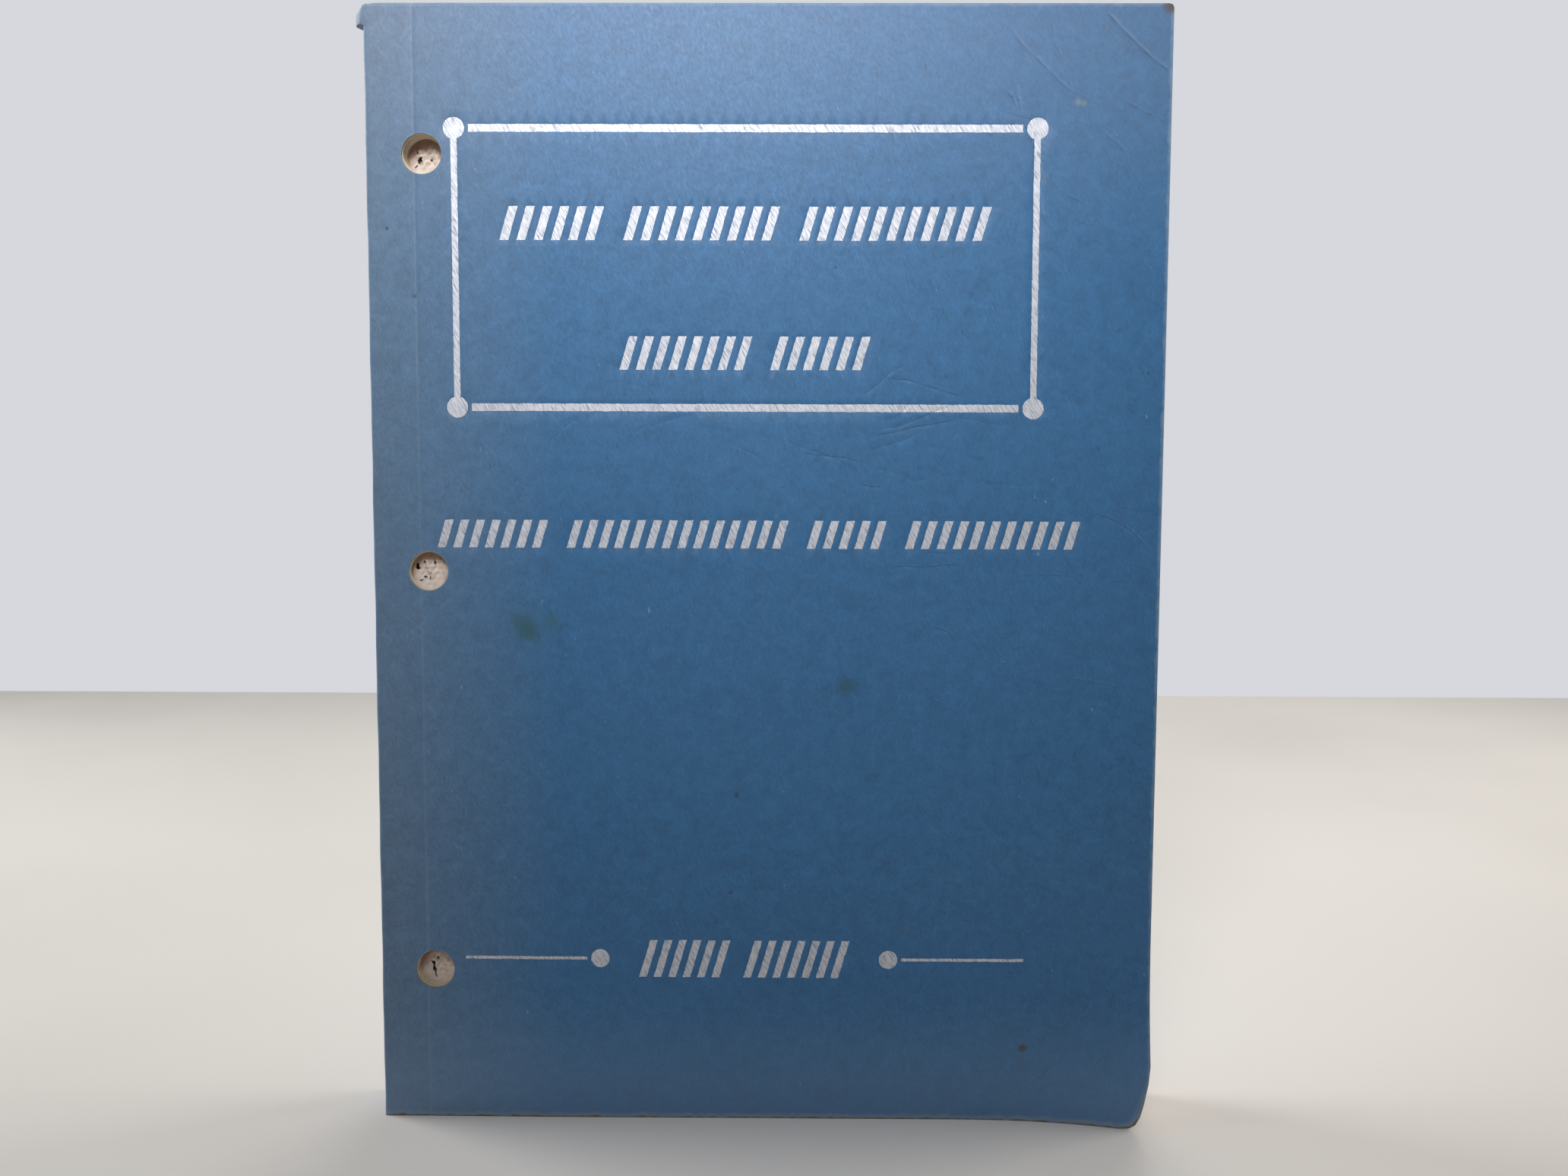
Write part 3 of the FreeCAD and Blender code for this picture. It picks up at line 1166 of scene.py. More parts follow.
@dataclass
class CoverPanel:
    """Front or back cover, from the score to the fore edge."""

    sizes: BookSizes
    side: Side
    creases: tuple[Crease, ...] = ()
    curl: CornerCurl | None = None
    blunt: tuple[tuple[float, float], ...] = CornerCurl.blunt
    sway: float = 0.16 * MM
    sway_turns: tuple[float, float, float] = (43.0, 31.0, 24.0)
    held_width: float = 25 * MM
    score_dip: float = 0.12 * MM
    score_width: float = 0.7 * MM
    step: float = 3.0 * MM
    curl_step: float = 1.2 * MM
    rim_step: float = 2.4 * MM
    score_step: float = 2.8 * MM
    insets: tuple[float, float] = (0.5 * MM, 1.3 * MM)
    inset_step: float = 2 * MM
    tail_share: float = 0.06
    press: float = 0.07 * MM
    press_slope: float = 0.16 * MM
    press_slack: float = 0.01 * MM
    hole_rub: float = 0.85 * MM
    tail_rub: float = 0.2 * MM
    spared: float = 0.6 * MM
    hem: float = 1.8 * MM
    worn_corner: float = 0.9 * MM
    foil_loops: dict[str, list[np.ndarray]] = field(default_factory=dict)

    def outline(self) -> np.ndarray:
        """Gives the panel's corners, with its worn corners cut back.

        Returns:
            A closed outline, from the score's tail end.
        """
        score, width, high, small = self.sizes.score, self.sizes.width, self.sizes.height, self.worn_corner
        tail = [(width - in_x, up) for in_x, up in self.blunt]
        between = small / 4
        head = [(width, high - small), (width - between, high - between), (width - small, high)]
        return np.array([(score, 0.0), *tail, *head, (score, high)])

    def hand(self) -> float:
        """Gives 1, or -1 where the sway runs the other way."""
        return 1.0 if self.side is Side.FRONT else -1.0

    def relief(self, points: np.ndarray) -> np.ndarray:
        """Works out how far the card's face stands out from its flat place.

        Args:
            points: places from the spine edge and the tail.

        Returns:
            The distance at each point, outward.
        """
        across, up = points.T
        sizes = self.sizes
        ease = clipped((across - sizes.score) / self.held_width)
        wide, high, long = self.sway_turns
        waves = np.sin(across * wide * self.hand() + 0.6) * np.cos(up * high + 1.1) + np.sin(up * long - 0.4)
        height = self.sway * ease * (2 + waves) / 2
        height -= self.score_dip * clipped(1 - (across - sizes.score) / self.score_width)
        for crease in self.creases:
            height -= crease.shape(points)[0]
        if self.curl:
            height += self.curl.height(points, sizes.width)
        return height

    def place(self, points: np.ndarray, outward: np.ndarray) -> np.ndarray:
        """Puts flat points in the frame.

        Args:
            points: places from the spine edge and the tail.
            outward: how far each stands out from the outer face.

        Returns:
            Points in the frame.
        """
        face = self.sizes.outer(self.side)
        return stacked(self.sizes.spine + points[:, 0], face + self.side.value * outward, points[:, 1])

    def marks(self, points: np.ndarray) -> dict[str, np.ndarray]:
        """Works out the values that the finish reads.

        Args:
            points: places from the spine edge and the tail.

        Returns:
            Values by attribute name.
        """
        # The crease mark carries painted shading: shade in the valleys, highlight on the upper lips.
        worn = np.zeros(len(points))
        for crease in self.creases:
            worn += crease.shape(points)[1]
        # The tail stands on shelves and rubs widest.
        elsewhere = clipped(points[:, 1] / (self.sizes.height * self.tail_share))
        edge = distance_to(points, self.outline()) + self.spared * elsewhere - self.tail_rub
        edge = np.minimum(edge, self.sizes.from_holes(points) + self.hole_rub)
        return {
            "place": stacked(points[:, 0], 0.0, points[:, 1]),
            "edge": edge,
            "fold": points[:, 0] - self.sizes.score,
            "crease": worn,
        }

    def flat(self) -> FlatSheet:
        """Cuts the panel flat, with lines where foil, creases and wear need them.

        Returns:
            The flat sheet.
        """
        sizes = self.sizes
        low, high = (sizes.score, 0.0), (sizes.width, sizes.height)
        scatter = [grid(low, high, self.step)]
        for inset in self.insets:
            frame = np.array([
                (sizes.score, inset), (sizes.width - inset, inset),
                (sizes.width - inset, sizes.height - inset), (sizes.score, sizes.height - inset),
            ])
            for start, end in zip(frame[:-1], frame[1:]):
                steps = int(np.linalg.norm(end - start) / self.inset_step)
                scatter.append(start + np.linspace(0, 1, steps)[:, None] * (end - start))
        if self.curl:
            reach = self.curl.reach
            scatter.append(grid((sizes.width - reach, 0), (sizes.width, reach), self.curl_step))
        score_line = self.sizes.score + np.array([0.3 * MM, self.score_width, 1.3 * MM, 2.0 * MM])
        # Enough points along them that the worn ends don't spread down the score.
        steps = np.arange(0, sizes.height + 1.5 * MM, self.score_step).clip(max=sizes.height)
        lines = [np.column_stack([np.full(len(steps), x), steps]) for x in score_line]
        for crease in self.creases:
            lines += crease.lines()
        loops = [line for bed in self.beds() for line in (bed, grown(bed, self.press_slope))]
        holes = [hole.ring() for hole in sizes.holes]
        outline = divided(self.outline(), self.rim_step)
        return cut_sheet(outline, holes, lines, loops, np.concatenate(scatter))

    def beds(self) -> list[np.ndarray]:
        """Gives the outline of every foil shape."""
        return [shape for shapes in self.foil_loops.values() for shape in shapes]

    def pressed(self, points: np.ndarray) -> np.ndarray:
        """Tests which points lie under the foil."""
        return covered(points, [grown(bed, self.press_slack) for bed in self.beds()])

    def build(self, skins: Skins) -> FlatSheet:
        """Builds the panel, dipped along its score.

        Args:
            skins: the materials of its coated face, inner face and cut edge.

        Returns:
            The panel's flat sheet.
        """
        sheet = self.flat()
        height = self.relief(sheet.points)
        press = self.pressed(sheet.points) * self.press
        outer = self.place(sheet.points, height - press)
        inner = self.place(sheet.points, height - self.sizes.card)
        word = self.side.name.lower()
        panel = make_piece(f"{word}_cover_card", sheet, outer, inner, skins, self.marks(sheet.points))
        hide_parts(f"cover_{word}")
        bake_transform(panel)
        return sheet


@dataclass
class SpineWrap:
    """The cover's spine and the two strips glued to the block, one bent card."""

    sizes: BookSizes
    corner: float = 0.55 * MM
    flare: float = 2.0 * MM
    flare_low: float = 4.3 * MM
    flare_tear: float = 0.45 * MM
    flare_back: float = 1.6 * MM
    flare_wide: float = 2.0 * MM
    flare_round: float = 2.0 * MM
    knocked: float = 0.3 * MM
    knock_wide: float = 1.5 * MM
    score_dip: float = 0.12 * MM
    score_width: float = 0.7 * MM
    wobble: float = 0.07 * MM
    wobble_turns: tuple[float, float] = (310.0, 123.0)
    hole_rub: float = 0.85 * MM
    tail_rub: float = 0.2 * MM
    head_spared: float = 0.3 * MM
    step: float = 4 * MM

    def strip(self) -> float:
        """Gives the flat length of one side strip."""
        return self.sizes.score - self.corner

    def arc(self) -> float:
        """Gives the length round one folded corner."""
        return self.corner * math.pi / 2

    def back_width(self) -> float:
        """Gives the flat width of the spine's face."""
        return self.sizes.back - self.sizes.front - 2 * self.corner

    def total(self) -> float:
        """Gives the wrap's length from score to score."""
        return 2 * self.strip() + 2 * self.arc() + self.back_width()

    def bend(self, along: float, inward: float) -> tuple[float, float]:
        """Bends one place of the flat wrap round the block.

        Args:
            along: distance from the front score.
            inward: depth below the outer face.

        Returns:
            X and Y in the frame.
        """
        sizes, r = self.sizes, self.corner
        strip, arc, face = self.strip(), self.arc(), self.back_width()
        if along > self.total() / 2:
            x, y = self.bend(self.total() - along, inward)
            return x, sizes.front + sizes.back - y
        if along <= strip:
            return sizes.spine + sizes.score - along, sizes.front + inward
        if along <= strip + arc:
            turn = (along - strip) / r
            reach = r - inward
            return sizes.spine + r - reach * math.sin(turn), sizes.front + r - reach * math.cos(turn)
        return sizes.spine + inward, sizes.front + r + min(along - strip - arc, face)

    def shaped(self, points: np.ndarray, inward: float) -> np.ndarray:
        """Bends the flat wrap, dips it at the scores and flares its torn head.

        Args:
            points: distance from the front score, and height.
            inward: depth below the outer face.

        Returns:
            Points in the frame.
        """
        sizes = self.sizes
        torn = sizes.height - self.flare_low
        middle = self.strip() + self.arc() + self.flare_back
        result = []
        for along, up in points.tolist():
            from_score = min(along, self.total() - along)
            dip = self.score_dip * max(0.0, 1 - from_score / self.score_width)
            x, y = self.bend(along, inward + dip)
            # The head of the spine is torn behind its front fold: the flap
            # stands out most at the tear and rejoins the head above it.
            rise = min(max((up - torn) / self.flare_tear, 0), 1)
            near = math.exp(-((along - middle) / self.flare_wide) ** 2)
            top = math.sqrt(min(1.0, max(0.0, sizes.height - up) / self.flare_round))
            x -= self.flare * rise * near * top
            # The head's corners are knocked round.
            knock = math.exp(-((from_score - self.strip() - self.arc() / 2) / self.knock_wide) ** 2)
            up -= self.knocked * knock * max(0.0, (up - torn) / self.flare_low) ** 2
            if from_score > self.strip():
                fast, slow = self.wobble_turns
                x += self.wobble * math.sin(up * fast) * math.sin(up * slow + 1)
            result.append((x, y, up))
        return np.array(result)

    def build(self, skins: Skins) -> None:
        """Builds the wrap.

        Args:
            skins: the materials of its coated face, inner face and cut edge.
        """
        sizes = self.sizes
        total, high = self.total(), sizes.height
        outline = np.array([(0.0, 0.0), (total, 0.0), (total, high), (0.0, high)])
        holes = []
        for hole in sizes.holes:
            from_score = sizes.score - hole.across
            holes.append(circle(from_score, hole.up, hole.radius))
            holes.append(circle(total - from_score, hole.up, hole.radius))
        stops = [0.3 * MM, 0.7 * MM, 3 * MM, 6 * MM, self.strip()]
        stops += [self.strip() + self.arc() * share for share in (0.25, 0.5, 0.75, 1.0)]
        stops += [self.strip() - 1.6 * MM, self.strip() - 0.7 * MM]
        stops += [self.strip() + self.arc() + step for step in (0.8 * MM, 1.6 * MM, 2.6 * MM, 3.8 * MM)]
        columns = stops + [total - stop for stop in stops]
        rows = list(np.arange(self.step, high - 6 * MM, self.step))
        torn = high - self.flare_low
        rows += [torn - 0.4 * MM, torn, torn + 0.25 * MM, torn + self.flare_tear, torn + 1.5 * MM]
        rows += [high - down * MM for down in (2.0, 1.5, 1.0, 0.6, 0.3, 0.1)]
        scatter = np.array([(across, up) for across in columns for up in rows])
        lines = [np.array([(across, 0.0), (across, high)]) for across in columns]
        sheet = cut_sheet(divided(outline, self.step), holes, lines, [], scatter)
        along, up = sheet.points.T
        from_score = np.minimum(along, total - along)
        flat = np.column_stack([sizes.score - from_score, up])
        trim = np.minimum(up - self.tail_rub, high - up + self.head_spared)
        marks = {
            "place": stacked(flat[:, 0], 0.0, up),
            "edge": np.minimum(trim, sizes.from_holes(flat) + self.hole_rub),
            "fold": np.minimum(from_score, np.abs(from_score - self.strip() - self.arc() / 2)),
        }
        outer, inner = self.shaped(sheet.points, 0.0), self.shaped(sheet.points, sizes.card)
        wrap = make_piece("spine_wrap_card", sheet, outer, inner, skins, marks)
        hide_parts("cover_spine")
        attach(wrap, "bound_block")


@dataclass
class FoilStamping:
    """Foil pressed into the front cover, on the outlines that the frame gives."""

    sizes: BookSizes
    thickness: float = 0.03 * MM
    ragged: float = 0.045 * MM
    ragged_step: float = 0.7 * MM
    bed_gap: float = 0.002 * MM
    flatness: float = 0.001 * MM
    seed: int = 12
    nodes: tuple[str, ...] = ("foil_frame", "foil_title", "foil_subtitle", "foil_foot")

    def outlines(self, frame_nodes: dict[str, Piece]) -> dict[str, list[np.ndarray]]:
        """Reads each foil shape's outline from the frame.

        Args:
            frame_nodes: the frame's objects by name.

        Returns:
            Closed outlines by node, from the spine edge and the tail.
        """
        result = {}
        noise = np.random.default_rng(self.seed)
        for name in self.nodes:
            mesh = frame_nodes[name].data
            low = min(v.co.y for v in mesh.vertices)
            count: dict[tuple, int] = defaultdict(int)
            onward: dict[tuple, tuple] = {}
            for face in mesh.polygons:
                corners = [mesh.vertices[i].co for i in face.vertices]
                if max(c.y for c in corners) - low > self.flatness:
                    continue
                keys = [(round(c.x, 7), round(c.z, 7)) for c in corners]
                for start, end in zip(keys, keys[1:] + keys[:1]):
                    count[tuple(sorted((start, end)))] += 1
                    onward[(start, end)] = end
            following = {s: e for (s, e) in onward if count[tuple(sorted((s, e)))] == 1}
            loops = []
            while following:
                start = next(iter(following))
                loop = [start]
                step = following.pop(start)
                while step != start:
                    loop.append(step)
                    step = following.pop(step)
                points = np.array(loop)
                points[:, 0] -= self.sizes.spine
                points = divided(points, self.ragged_step)
                points += noise.uniform(-self.ragged, self.ragged, points.shape)
                loops.append(points)
            result[name] = loops
        return result

    def build(self, panel: CoverPanel, sheet: FlatSheet, foil: Material) -> None:
        """Lays the foil in its pressed beds.

        Args:
            panel: the front cover.
            sheet: the front cover's flat sheet.
            foil: the foil's material.
        """
        middles = sheet.centres()
        for name, shapes in panel.foil_loops.items():
            film = sheet.part(covered(middles, shapes))
            bed = panel.relief(film.points) - panel.press
            outer = panel.place(film.points, bed + self.thickness)
            inner = panel.place(film.points, bed + self.bed_gap)
            marks = panel.marks(film.points)
            piece = make_piece(f"{name}_film", film, outer, inner, (foil, foil, foil), marks)
            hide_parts(name)
            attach(piece, "front_cover")


# --------------------------------------------------------------------- text block


@dataclass
class TextBlock:
    """Fourteen sections of separate leaves, trimmed, punched and a little uneven."""

    sizes: BookSizes
    curl: CornerCurl
    leaves: int = 8
    inset: float = 0.6 * MM
    bend_length: float = 11 * MM
    fill: float = 0.90
    short: float = 0.25 * MM
    square_from: float = 13 * MM
    outline_step: float = 8 * MM
    hole_clear: float = 0.5 * MM
    curl_share: float = 0.86
    curl_leaves: float = 9.0
    trim_jitter: float = 0.10 * MM
    punch_jitter: float = 0.16 * MM
    punch_reach: float = 2 * MM
    seed: int = 1957

    def flat(self, section: Section) -> FlatSheet:
        """Cuts one leaf of a section flat.

        Args:
            section: the section.

        Returns:
            The leaf's flat sheet.
        """
        sizes = self.sizes
        worn = [(sizes.width - in_x - self.short, up) for in_x, up in self.curl.blunt[:-1]]
        fore = [(sizes.width, self.square_from), (sizes.width, sizes.height)]
        outline = np.array([(self.inset, 0.0), *worn, *fore, (self.inset, sizes.height)])
        outline = divided(outline, self.outline_step)
        bends = section.bend + np.linspace(0, self.bend_length, 10)
        columns = [4 * MM, *bends, *(across * MM for across in (50, 85, 118, 132, 142, 149, 154))]
        rows = [up * MM for up in (4, 9, 16, 26, 40, 75, 115, 155, 190, 212)]
        lines = [np.array([(across, 0.0), (across, sizes.height)]) for across in bends]
        scatter = np.array([(across, up) for across in columns for up in rows])
        clear = np.ones(len(scatter), bool)
        for hole in sizes.holes:
            clear &= hole.gap(scatter) > self.hole_clear
        holes = [hole.ring(sides=28) for hole in sizes.holes]
        return cut_sheet(outline, holes, lines, [], scatter[clear])

    def leaf_points(self, sheet: FlatSheet, chance: random.Random) -> np.ndarray:
        """Makes one leaf's trim and holes slightly its own.

        Args:
            sheet: the section's flat leaf.
            chance: the seeded source of small differences.

        Returns:
            The leaf's flat points.
        """
        sizes = self.sizes
        points = sheet.points.copy()
        fore = chance.uniform(-1, 0) * self.trim_jitter
        head = chance.uniform(-1, 0) * self.trim_jitter
        tail = chance.uniform(0, 1) * self.trim_jitter * 0.3
        half_wide, half_high = sizes.width / 2, sizes.height / 2
        points[:, 0] += fore * clipped((points[:, 0] - half_wide) / half_wide)
        points[:, 1] += head * clipped((points[:, 1] - half_high) / half_high)
        points[:, 1] += tail * clipped(1 - points[:, 1] / half_high)
        for hole in sizes.holes:
            shift = np.array([chance.uniform(-1, 1), chance.uniform(-1, 1)]) * self.punch_jitter
            points += shift * clipped(1 - hole.gap(sheet.points) / self.punch_reach)[:, None]
        return points

    def build_section(self, section: Section, skins: Skins, chance: random.Random) -> None:
        """Builds one section's leaves as one piece.

        Args:
            section: the section.
            skins: the materials of a leaf's two faces and its cut edge.
            chance: the seeded source of small differences.
        """
        sizes = self.sizes
        sheet = self.flat(section)
        pitch = (section.back - section.front) / self.leaves
        made = []
        for number in range(self.leaves):
            deep = (section.number - 1) * self.leaves + number
            points = self.leaf_points(sheet, chance)
            lift = self.curl.height(points, sizes.width, self.curl_share * math.exp(-deep / self.curl_leaves))
            front = section.front + (number + (1 - self.fill) / 2) * pitch - lift
            outer = stacked(sizes.spine + points[:, 0], front, points[:, 1])
            inner = outer + (0, self.fill * pitch, 0)
            trim = np.minimum(points[:, 1], sizes.height - points[:, 1])
            marks = {
                "place": stacked(points[:, 0], deep * MM, points[:, 1]),
                "edge": np.minimum(trim, sizes.width - points[:, 0]),
            }
            name = f"leaf_{section.number:02d}_{number + 1}"
            made.append(make_piece(name, sheet, outer, inner, skins, marks))
        piece = join_pieces(made, f"section_{section.number:02d}_paper")
        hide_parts(*section.nodes)
        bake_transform(piece)

    def build(self, skins: Skins) -> None:
        """Builds every section.

        Args:
            skins: the materials of a leaf's two faces and its cut edge.
        """
        chance = random.Random(self.seed)
        for section in self.sizes.sections:
            self.build_section(section, skins, chance)


@dataclass(frozen=True)
class Tear:
    """A ragged gap in the torn paper of a hole, by its place from the middle."""

    across: float
    up: float
    long: float
    wide: float
    lean: float

    def outline(self, chance: random.Random) -> np.ndarray:
        """Gives the gap's ragged outline.

        Args:
            chance: the seeded source of its raggedness.

        Returns:
            A closed outline round the hole's middle.
        """
        turn = np.linspace(0, 2 * math.pi, 18, endpoint=False)
        rough = np.array([chance.uniform(0.62, 1.25) for _ in turn])
        along = self.long / 2 * np.sin(turn) * rough
        aside = self.wide / 2 * np.cos(turn) * rough
        lean = math.radians(self.lean)
        return np.column_stack([
            self.across + aside * math.cos(lean) + along * math.sin(lean),
            self.up + along * math.cos(lean) - aside * math.sin(lean),
        ])


@dataclass
class TornPaper:
    """Paper that the blunt punch tore and left hanging deep in the holes."""

    sizes: BookSizes
    depths: tuple[float, ...] = (3.7 * MM, 6.6 * MM, 10.6 * MM)
    nearness: tuple[float, ...] = (0.75, 0.5, 1.0)
    bowl: float = 0.8 * MM
    thickness: float = 0.09 * MM
    crumple: float = 0.38 * MM
    tucked: float = 0.08 * MM
    step: float = 0.34 * MM
    rim_clear: float = 0.15 * MM
    waves: tuple[tuple[float, float, float], ...] = (
        (1.0, 2.1, 0.9), (0.6, 4.3, -3.1), (0.4, 0.0, 5.7), (0.25, 9.1, 7.3),
    )
    seed: int = 77
    tears: tuple[tuple[Tear, ...], ...] = (
        (
            Tear(-1.35 * MM, 0.1 * MM, 1.3 * MM, 0.42 * MM, -38),
            Tear(-1.15 * MM, -1.0 * MM, 2.2 * MM, 0.72 * MM, -12),
            Tear(-0.55 * MM, 0.9 * MM, 0.6 * MM, 0.5 * MM, 0),
            Tear(-0.75 * MM, -2.4 * MM, 0.9 * MM, 0.3 * MM, -20),
        ),
        (
            Tear(-2.8 * MM, 0.8 * MM, 1.5 * MM, 0.75 * MM, -14),
            Tear(0.55 * MM, 1.6 * MM, 1.0 * MM, 0.5 * MM, 10),
            Tear(-1.4 * MM, 1.75 * MM, 0.7 * MM, 0.5 * MM, 0),
            Tear(-2.1 * MM, -2.0 * MM, 0.4 * MM, 0.8 * MM, -12),
            Tear(-1.4 * MM, -1.3 * MM, 0.36 * MM, 0.75 * MM, 16),
            Tear(-0.4 * MM, -1.6 * MM, 0.8 * MM, 0.35 * MM, 30),
        ),
        (
            Tear(-1.5 * MM, -0.05 * MM, 1.5 * MM, 1.15 * MM, 20),
            Tear(-2.0 * MM, 1.4 * MM, 1.2 * MM, 0.35 * MM, -20),
            Tear(0.6 * MM, 0.0 * MM, 0.5 * MM, 0.45 * MM, 0),
            Tear(-2.3 * MM, -1.4 * MM, 1.0 * MM, 0.3 * MM, 30),
        ),
    )

    def scrap(self, hole: Hole, number: int, layer: int, paper: Material, chance: random.Random) -> Piece:
        """Makes one hole's torn layer.

        Args:
            hole: the hole.
            number: the hole's place, from the tail up.
            layer: how deep the layer is, as its place in the depths.
            paper: the paper's material.
            chance: the seeded source of its crumples.

        Returns:
            The layer.
        """
        middle = np.array([hole.across, hole.up])
        gaps = []
        for tear in self.tears[(number + layer) % len(self.tears)]:
            gaps.append(tear.outline(chance) * (1 if layer == 0 else -1.1) + middle)
        rim = hole.ring(self.tucked, 48)
        inner = grid(tuple(middle - hole.radius), tuple(middle + hole.radius), self.step)
        inner = inner[hole.gap(inner) < -self.rim_clear]
        sheet = cut_sheet(rim, gaps, [], [], inner)
        places, ups = sheet.points.T
        away = np.linalg.norm(sheet.points - middle, axis=1)
        across, up = (sheet.points - middle).T / MM
        folds = np.zeros(len(away))
        for high, wide, long in self.waves:
            folds += high * np.sin(across * wide + up * long + chance.uniform(0, 6.3))
        depth = self.depths[layer] * (self.nearness[number] if layer == 0 else 1)
        sag = self.bowl * clipped(1 - (away / hole.radius) ** 2)
        free = clipped(1.15 - away / hole.radius)
        deep = self.sizes.front + depth + sag + self.crumple * folds * free
        front = stacked(self.sizes.spine + places, deep, ups)
        marks = {
            "place": stacked(places, self.depths[layer], ups),
            "edge": hole.radius - away,
            "high": (ups - hole.up) / hole.radius,
        }
        back = front + (0, self.thickness, 0)
        return make_piece(f"torn_layer_{number}_{layer}", sheet, front, back, (paper, paper, paper), marks)

    def build(self, paper: Material) -> None:
        """Builds the torn paper of every hole as one piece.

        Args:
            paper: the paper's material.
        """
        chance = random.Random(self.seed)
        scraps = []
        for number, hole in enumerate(sorted(self.sizes.holes, key=lambda h: h.up)):
            for layer in range(len(self.depths)):
                scraps.append(self.scrap(hole, number, layer, paper, chance))
        piece = join_pieces(scraps, "torn_paper_in_holes")
        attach(piece, "bound_block")


def join_pieces(pieces: list[Piece], name: str) -> Piece:
    """Joins pieces into one object.

    Args:
        pieces: mesh objects that share their materials.
        name: the joined object's name.

    Returns:
        The joined object.
    """
    with bpy.context.temp_override(active_object=pieces[0], selected_editable_objects=pieces):
        bpy.ops.object.join()
    joined = pieces[0]
    joined.name = name
    joined.data.name = name
    return joined


@dataclass
class Binding:
    """What holds the block: the spine's glue and two wire stitches."""

    nodes: dict[str, Piece]

    def dress(self, name: str, finish: Finish) -> None:
        """Gives one CAD node its finish.

        Args:
            name: the node.
            finish: the finish.
        """
        piece = self.nodes[name]
        piece.data.materials.clear()
        piece.data.materials.append(finish.material())
        log.info("dressed %s", name)

    def build(self) -> None:
        """Dresses the glue and the stitches."""
        self.dress("spine_glue", SpineGlue())
        for name in ("wire_stitch_lower", "wire_stitch_upper"):
            self.dress(name, StitchingWire())


# -------------------------------------------------------------------------- studio


@dataclass(frozen=True)
class SoftLight:
    """A square soft light: where it stands, what it faces, its side, watts, colour and beam."""

    name: str
    place: tuple[float, float, float]
    aim: tuple[float, float, float]
    size: float
    power: float
    colour: str = "#ffffff"
    spread: float = 180

    def build(self) -> None:
        """Adds the light to the scene, out of the camera's sight."""
        data = bpy.data.lights.new(self.name, "AREA")
        data.spread = math.radians(self.spread)
        data.size = self.size
        data.energy = self.power
        data.color = linear(self.colour)[:3]
        lamp = bpy.data.objects.new(self.name, data)
        lamp.visible_camera = False
        lamp.location = self.place
        lamp.rotation_euler = (Vector(self.aim) - Vector(self.place)).to_track_quat("-Z", "Y").to_euler()
        bpy.context.scene.collection.objects.link(lamp)


@dataclass
class Studio:
    """Pale floor, soft lights and the camera."""

    eye: tuple[float, float, float] = (0.0052, -0.2467, 0.1277)
    tilt: float = -4.01
    turn: float = -0.37
    roll: float = 0.2
    lens: float = 27.42
    sensor: float = 36.0
    near: float = 10 * MM
    floor: float = 1.1
    sky: str = "#eceef4"
    sky_lights: float = 0.1
    sky_seen: float = 0.8
    lights: tuple[SoftLight, ...] = (
        SoftLight("key_light", (-0.06, -0.36, 0.42), (-0.01, 0.0, 0.27), 0.14, 0.294, spread=60),
        SoftLight("fill_light", (-0.5, -0.6, 0.35), (0.0, 0.0, 0.12), 0.5, 0.24),
        SoftLight("left_light", (-0.7, 0.14, 0.5), (0.0, -0.05, 0.0), 0.4, 3.7),
        SoftLight("right_light", (0.7, 0.14, 0.5), (0.0, -0.05, 0.0), 0.4, 2.6, "#fffaf4"),
        SoftLight("back_light", (0.3, 0.9, 0.8), (0.0, 0.0, 0.1), 0.9, 4.0),
    )

    def camera(self) -> None:
        """Sets up the camera in front of the cover, tilted a little down."""
        tilt, turn, roll = (math.radians(v) for v in (self.tilt, self.turn, self.roll))
        ahead = Vector((math.sin(turn) * math.cos(tilt), math.cos(turn) * math.cos(tilt), math.sin(tilt)))
        right = Vector((math.cos(turn), -math.sin(turn), 0))
        up = right.cross(ahead)
        side = right * math.cos(roll) + up * math.sin(roll)
        top = up * math.cos(roll) - right * math.sin(roll)
        data = bpy.data.cameras.new("camera")
        data.lens = self.lens
        data.sensor_width = self.sensor
        data.clip_start = self.near
        camera = bpy.data.objects.new("camera", data)
        rotation = Matrix((side, top, -ahead)).transposed()
        camera.matrix_world = Matrix.Translation(self.eye) @ rotation.to_4x4()
        bpy.context.scene.collection.objects.link(camera)
        bpy.context.scene.camera = camera

    def build(self) -> None:
        """Builds the floor, the lights, the sky and the camera."""
        half = self.floor / 2
        mesh = bpy.data.meshes.new("floor")
        corners = [(-half, -half, 0), (half, -half, 0), (half, half, 0), (-half, half, 0)]
        mesh.from_pydata(corners, [], [(0, 1, 2, 3)])
        mesh.materials.append(PressedBoardFloor().material())
        floor = bpy.data.objects.new("floor", mesh)
        bpy.context.scene.collection.objects.link(floor)
        for light in self.lights:
            light.build()
        world = bpy.data.worlds.new("studio")
        world.use_nodes = True
        world.node_tree.nodes.clear()
        # The backdrop is seen paler than it lights, as in a deep studio.
        add = partial(add_node, world.node_tree)
        seen = add("LightPath", (), "Is Camera Ray")
        strength = add("MapRange", (seen, 0.0, 1.0, self.sky_lights, self.sky_seen))
        sky = add("Background", {"Color": linear(self.sky), "Strength": strength})
        add("OutputWorld", {"Surface": sky})
        bpy.context.scene.world = world
        bpy.context.scene.view_settings.view_transform = "Standard"
        self.camera()


# ---------------------------------------------------------------------------- main


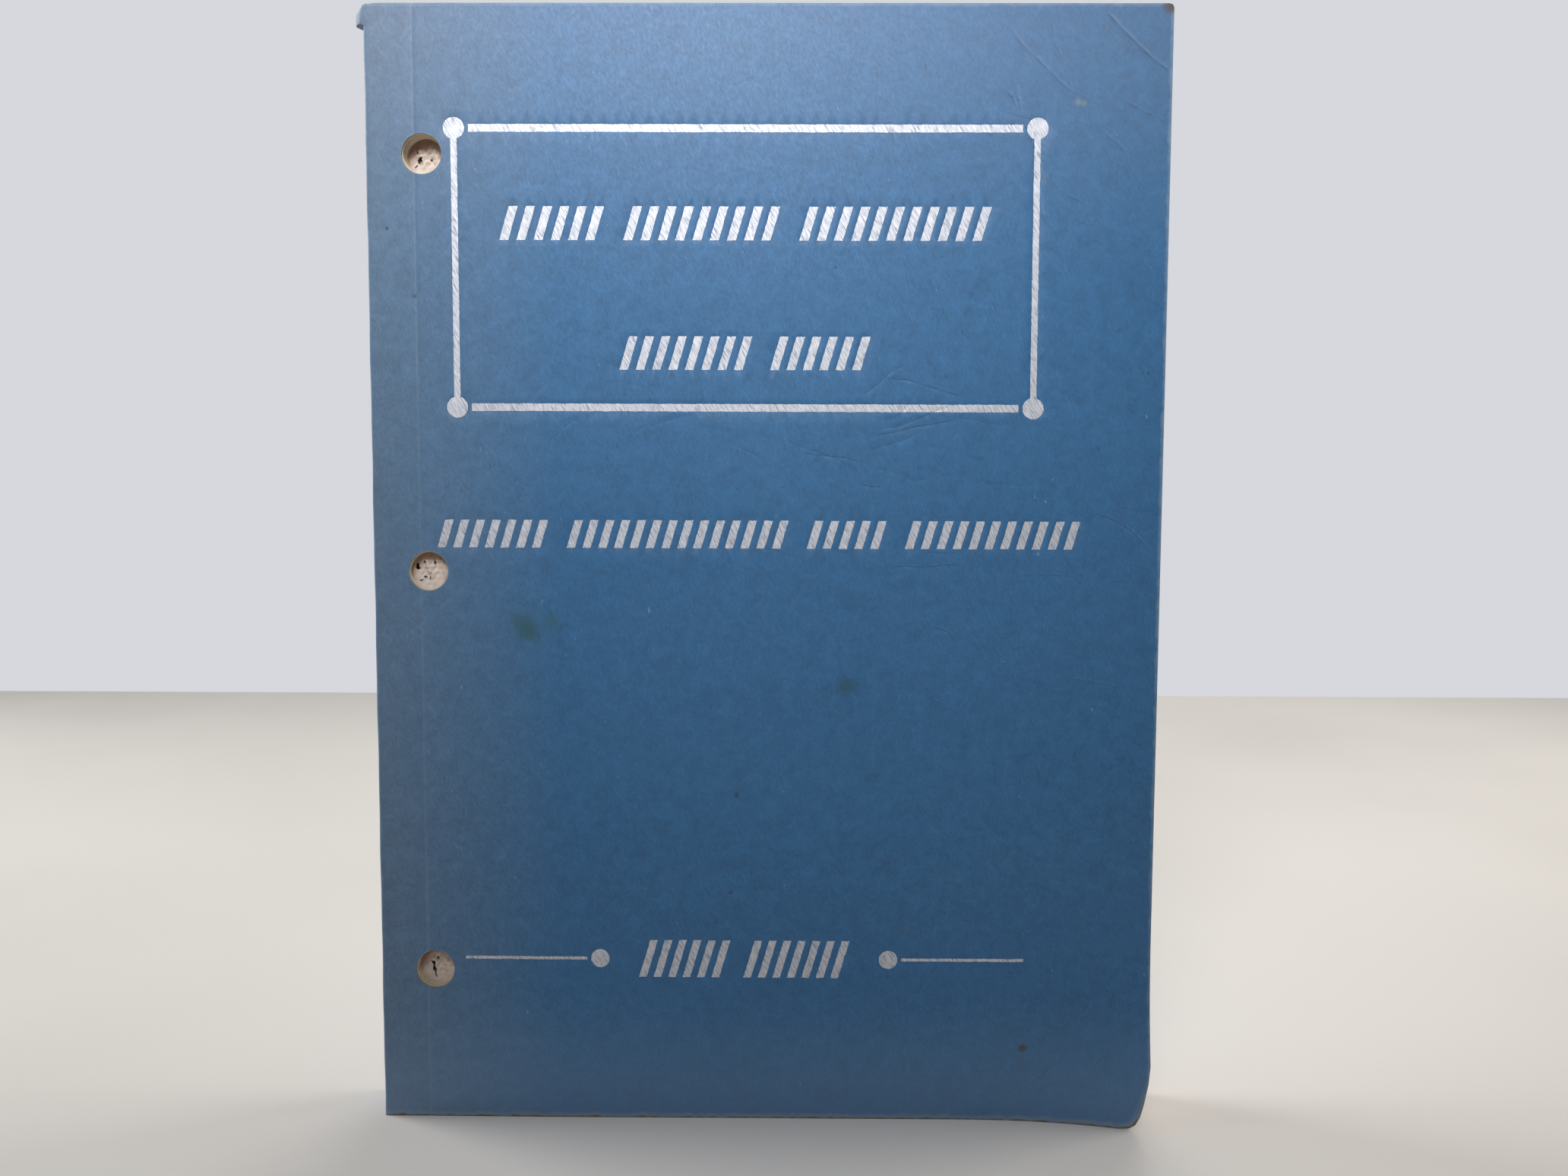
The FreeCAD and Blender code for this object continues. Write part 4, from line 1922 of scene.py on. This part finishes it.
def handling_creases(sizes: BookSizes) -> tuple[Crease, ...]:
    """Gives the front cover's fold marks: named ones and fine wrinkles.

    Args:
        sizes: the book's sizes.

    Returns:
        The creases.
    """
    head_marks = (
        (0.13, ((13.3, 1.5), (10.6, 4.4), (8.3, 6.6), (6.2, 8.5), (3.9, 10.7), (0.4, 13.1))),
        (0.10, ((32.1, 4.5), (29.4, 8.1), (25.8, 11.3), (22.8, 14.2), (20.1, 16.6), (17.8, 17.7))),
        (0.06, ((17.8, 17.7), (15.2, 18.6), (13.5, 20.1))),
        (0.07, ((10.3, 17.9), (7.4, 19.7), (4.5, 21.1), (0.6, 22.9))),
        (0.08, ((14.0, 24.2), (10.5, 26.8), (8.7, 28.8))),
        (0.05, ((24.0, 3.0), (23.0, 8.0), (20.5, 13.0))),
    )
    tail_marks = (
        (0.06, ((16.4, 15.0), (21.0, 10.6), (26.0, 6.5), (31.7, 2.0))),
        (0.16, ((0.5, 9.3), (1.7, 6.2), (2.9, 3.0), (3.7, 0.9))),
        (0.06, ((9.5, 14.5), (13.0, 9.0), (17.5, 4.0))),
    )
    creases = []
    for marks, base, way in ((head_marks, sizes.height, -1), (tail_marks, 0.0, 1)):
        for depth, path in marks:
            places = tuple((sizes.width - in_x * MM, base + way * up * MM) for in_x, up in path)
            creases.append(Crease(places, depth * MM))
    chance = random.Random(WRINKLE_SEED)
    fields = (
        WrinkleField(118 * MM, 196 * MM, 22 * MM, 18 * MM, 14, -48, 8 * MM),
        WrinkleField(124 * MM, 132 * MM, 26 * MM, 22 * MM, 18, -6, 12 * MM),
        WrinkleField(75 * MM, 128 * MM, 26 * MM, 18 * MM, 12, 4, 10 * MM),
        WrinkleField(120 * MM, 98 * MM, 24 * MM, 10 * MM, 8, -12, 12 * MM),
        WrinkleField(30 * MM, 150 * MM, 14 * MM, 40 * MM, 5, 60, 7 * MM),
    )
    for wrinkles in fields:
        creases += wrinkles.creases(chance)
    return tuple(creases)


def main() -> None:
    """Builds the manual round its frame and reports each piece."""
    logging.basicConfig(level=logging.INFO, format="%(name)s: %(message)s")
    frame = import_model()
    sizes = BookSizes.read(frame["record"])

    card = EmbossedCoverCard().material()
    # The back lay on tables: fewer marks, each its own.
    back_stains = (
        Stain(118 * MM, 172 * MM, 3.0 * MM, "#31606a", 0.35),
        Stain(64 * MM, 48 * MM, 1.4 * MM, "#4c4a30", 0.5),
    )
    back_card = EmbossedCoverCard("pyroxylin_coated_card_back", stains=back_stains).material()
    lining = BoardCore("manila_board_calendered", "#cfc2a6", "#b7a27c").material()
    trim = BoardCore("manila_board_guillotined", "#a39a88", "#7d6f5c").material()
    foil = StampedFoil().material()
    page = PrintedBookPaper().material()
    edge = GuillotinedEdge().material()

    stamping = FoilStamping(sizes)
    curl = CornerCurl()
    front = CoverPanel(sizes, Side.FRONT, creases=handling_creases(sizes), curl=curl,
                       foil_loops=stamping.outlines(frame["nodes"]))
    sheet = front.build((card, lining, trim))
    stamping.build(front, sheet, foil)
    CoverPanel(sizes, Side.BACK).build((back_card, lining, trim))
    SpineWrap(sizes).build((card, lining, trim))
    TextBlock(sizes, curl).build((page, page, edge))
    TornPaper(sizes).build(TornBookPaper().material())
    Binding(frame["nodes"]).build()
    Studio().build()


if __name__ == "__main__":
    main()
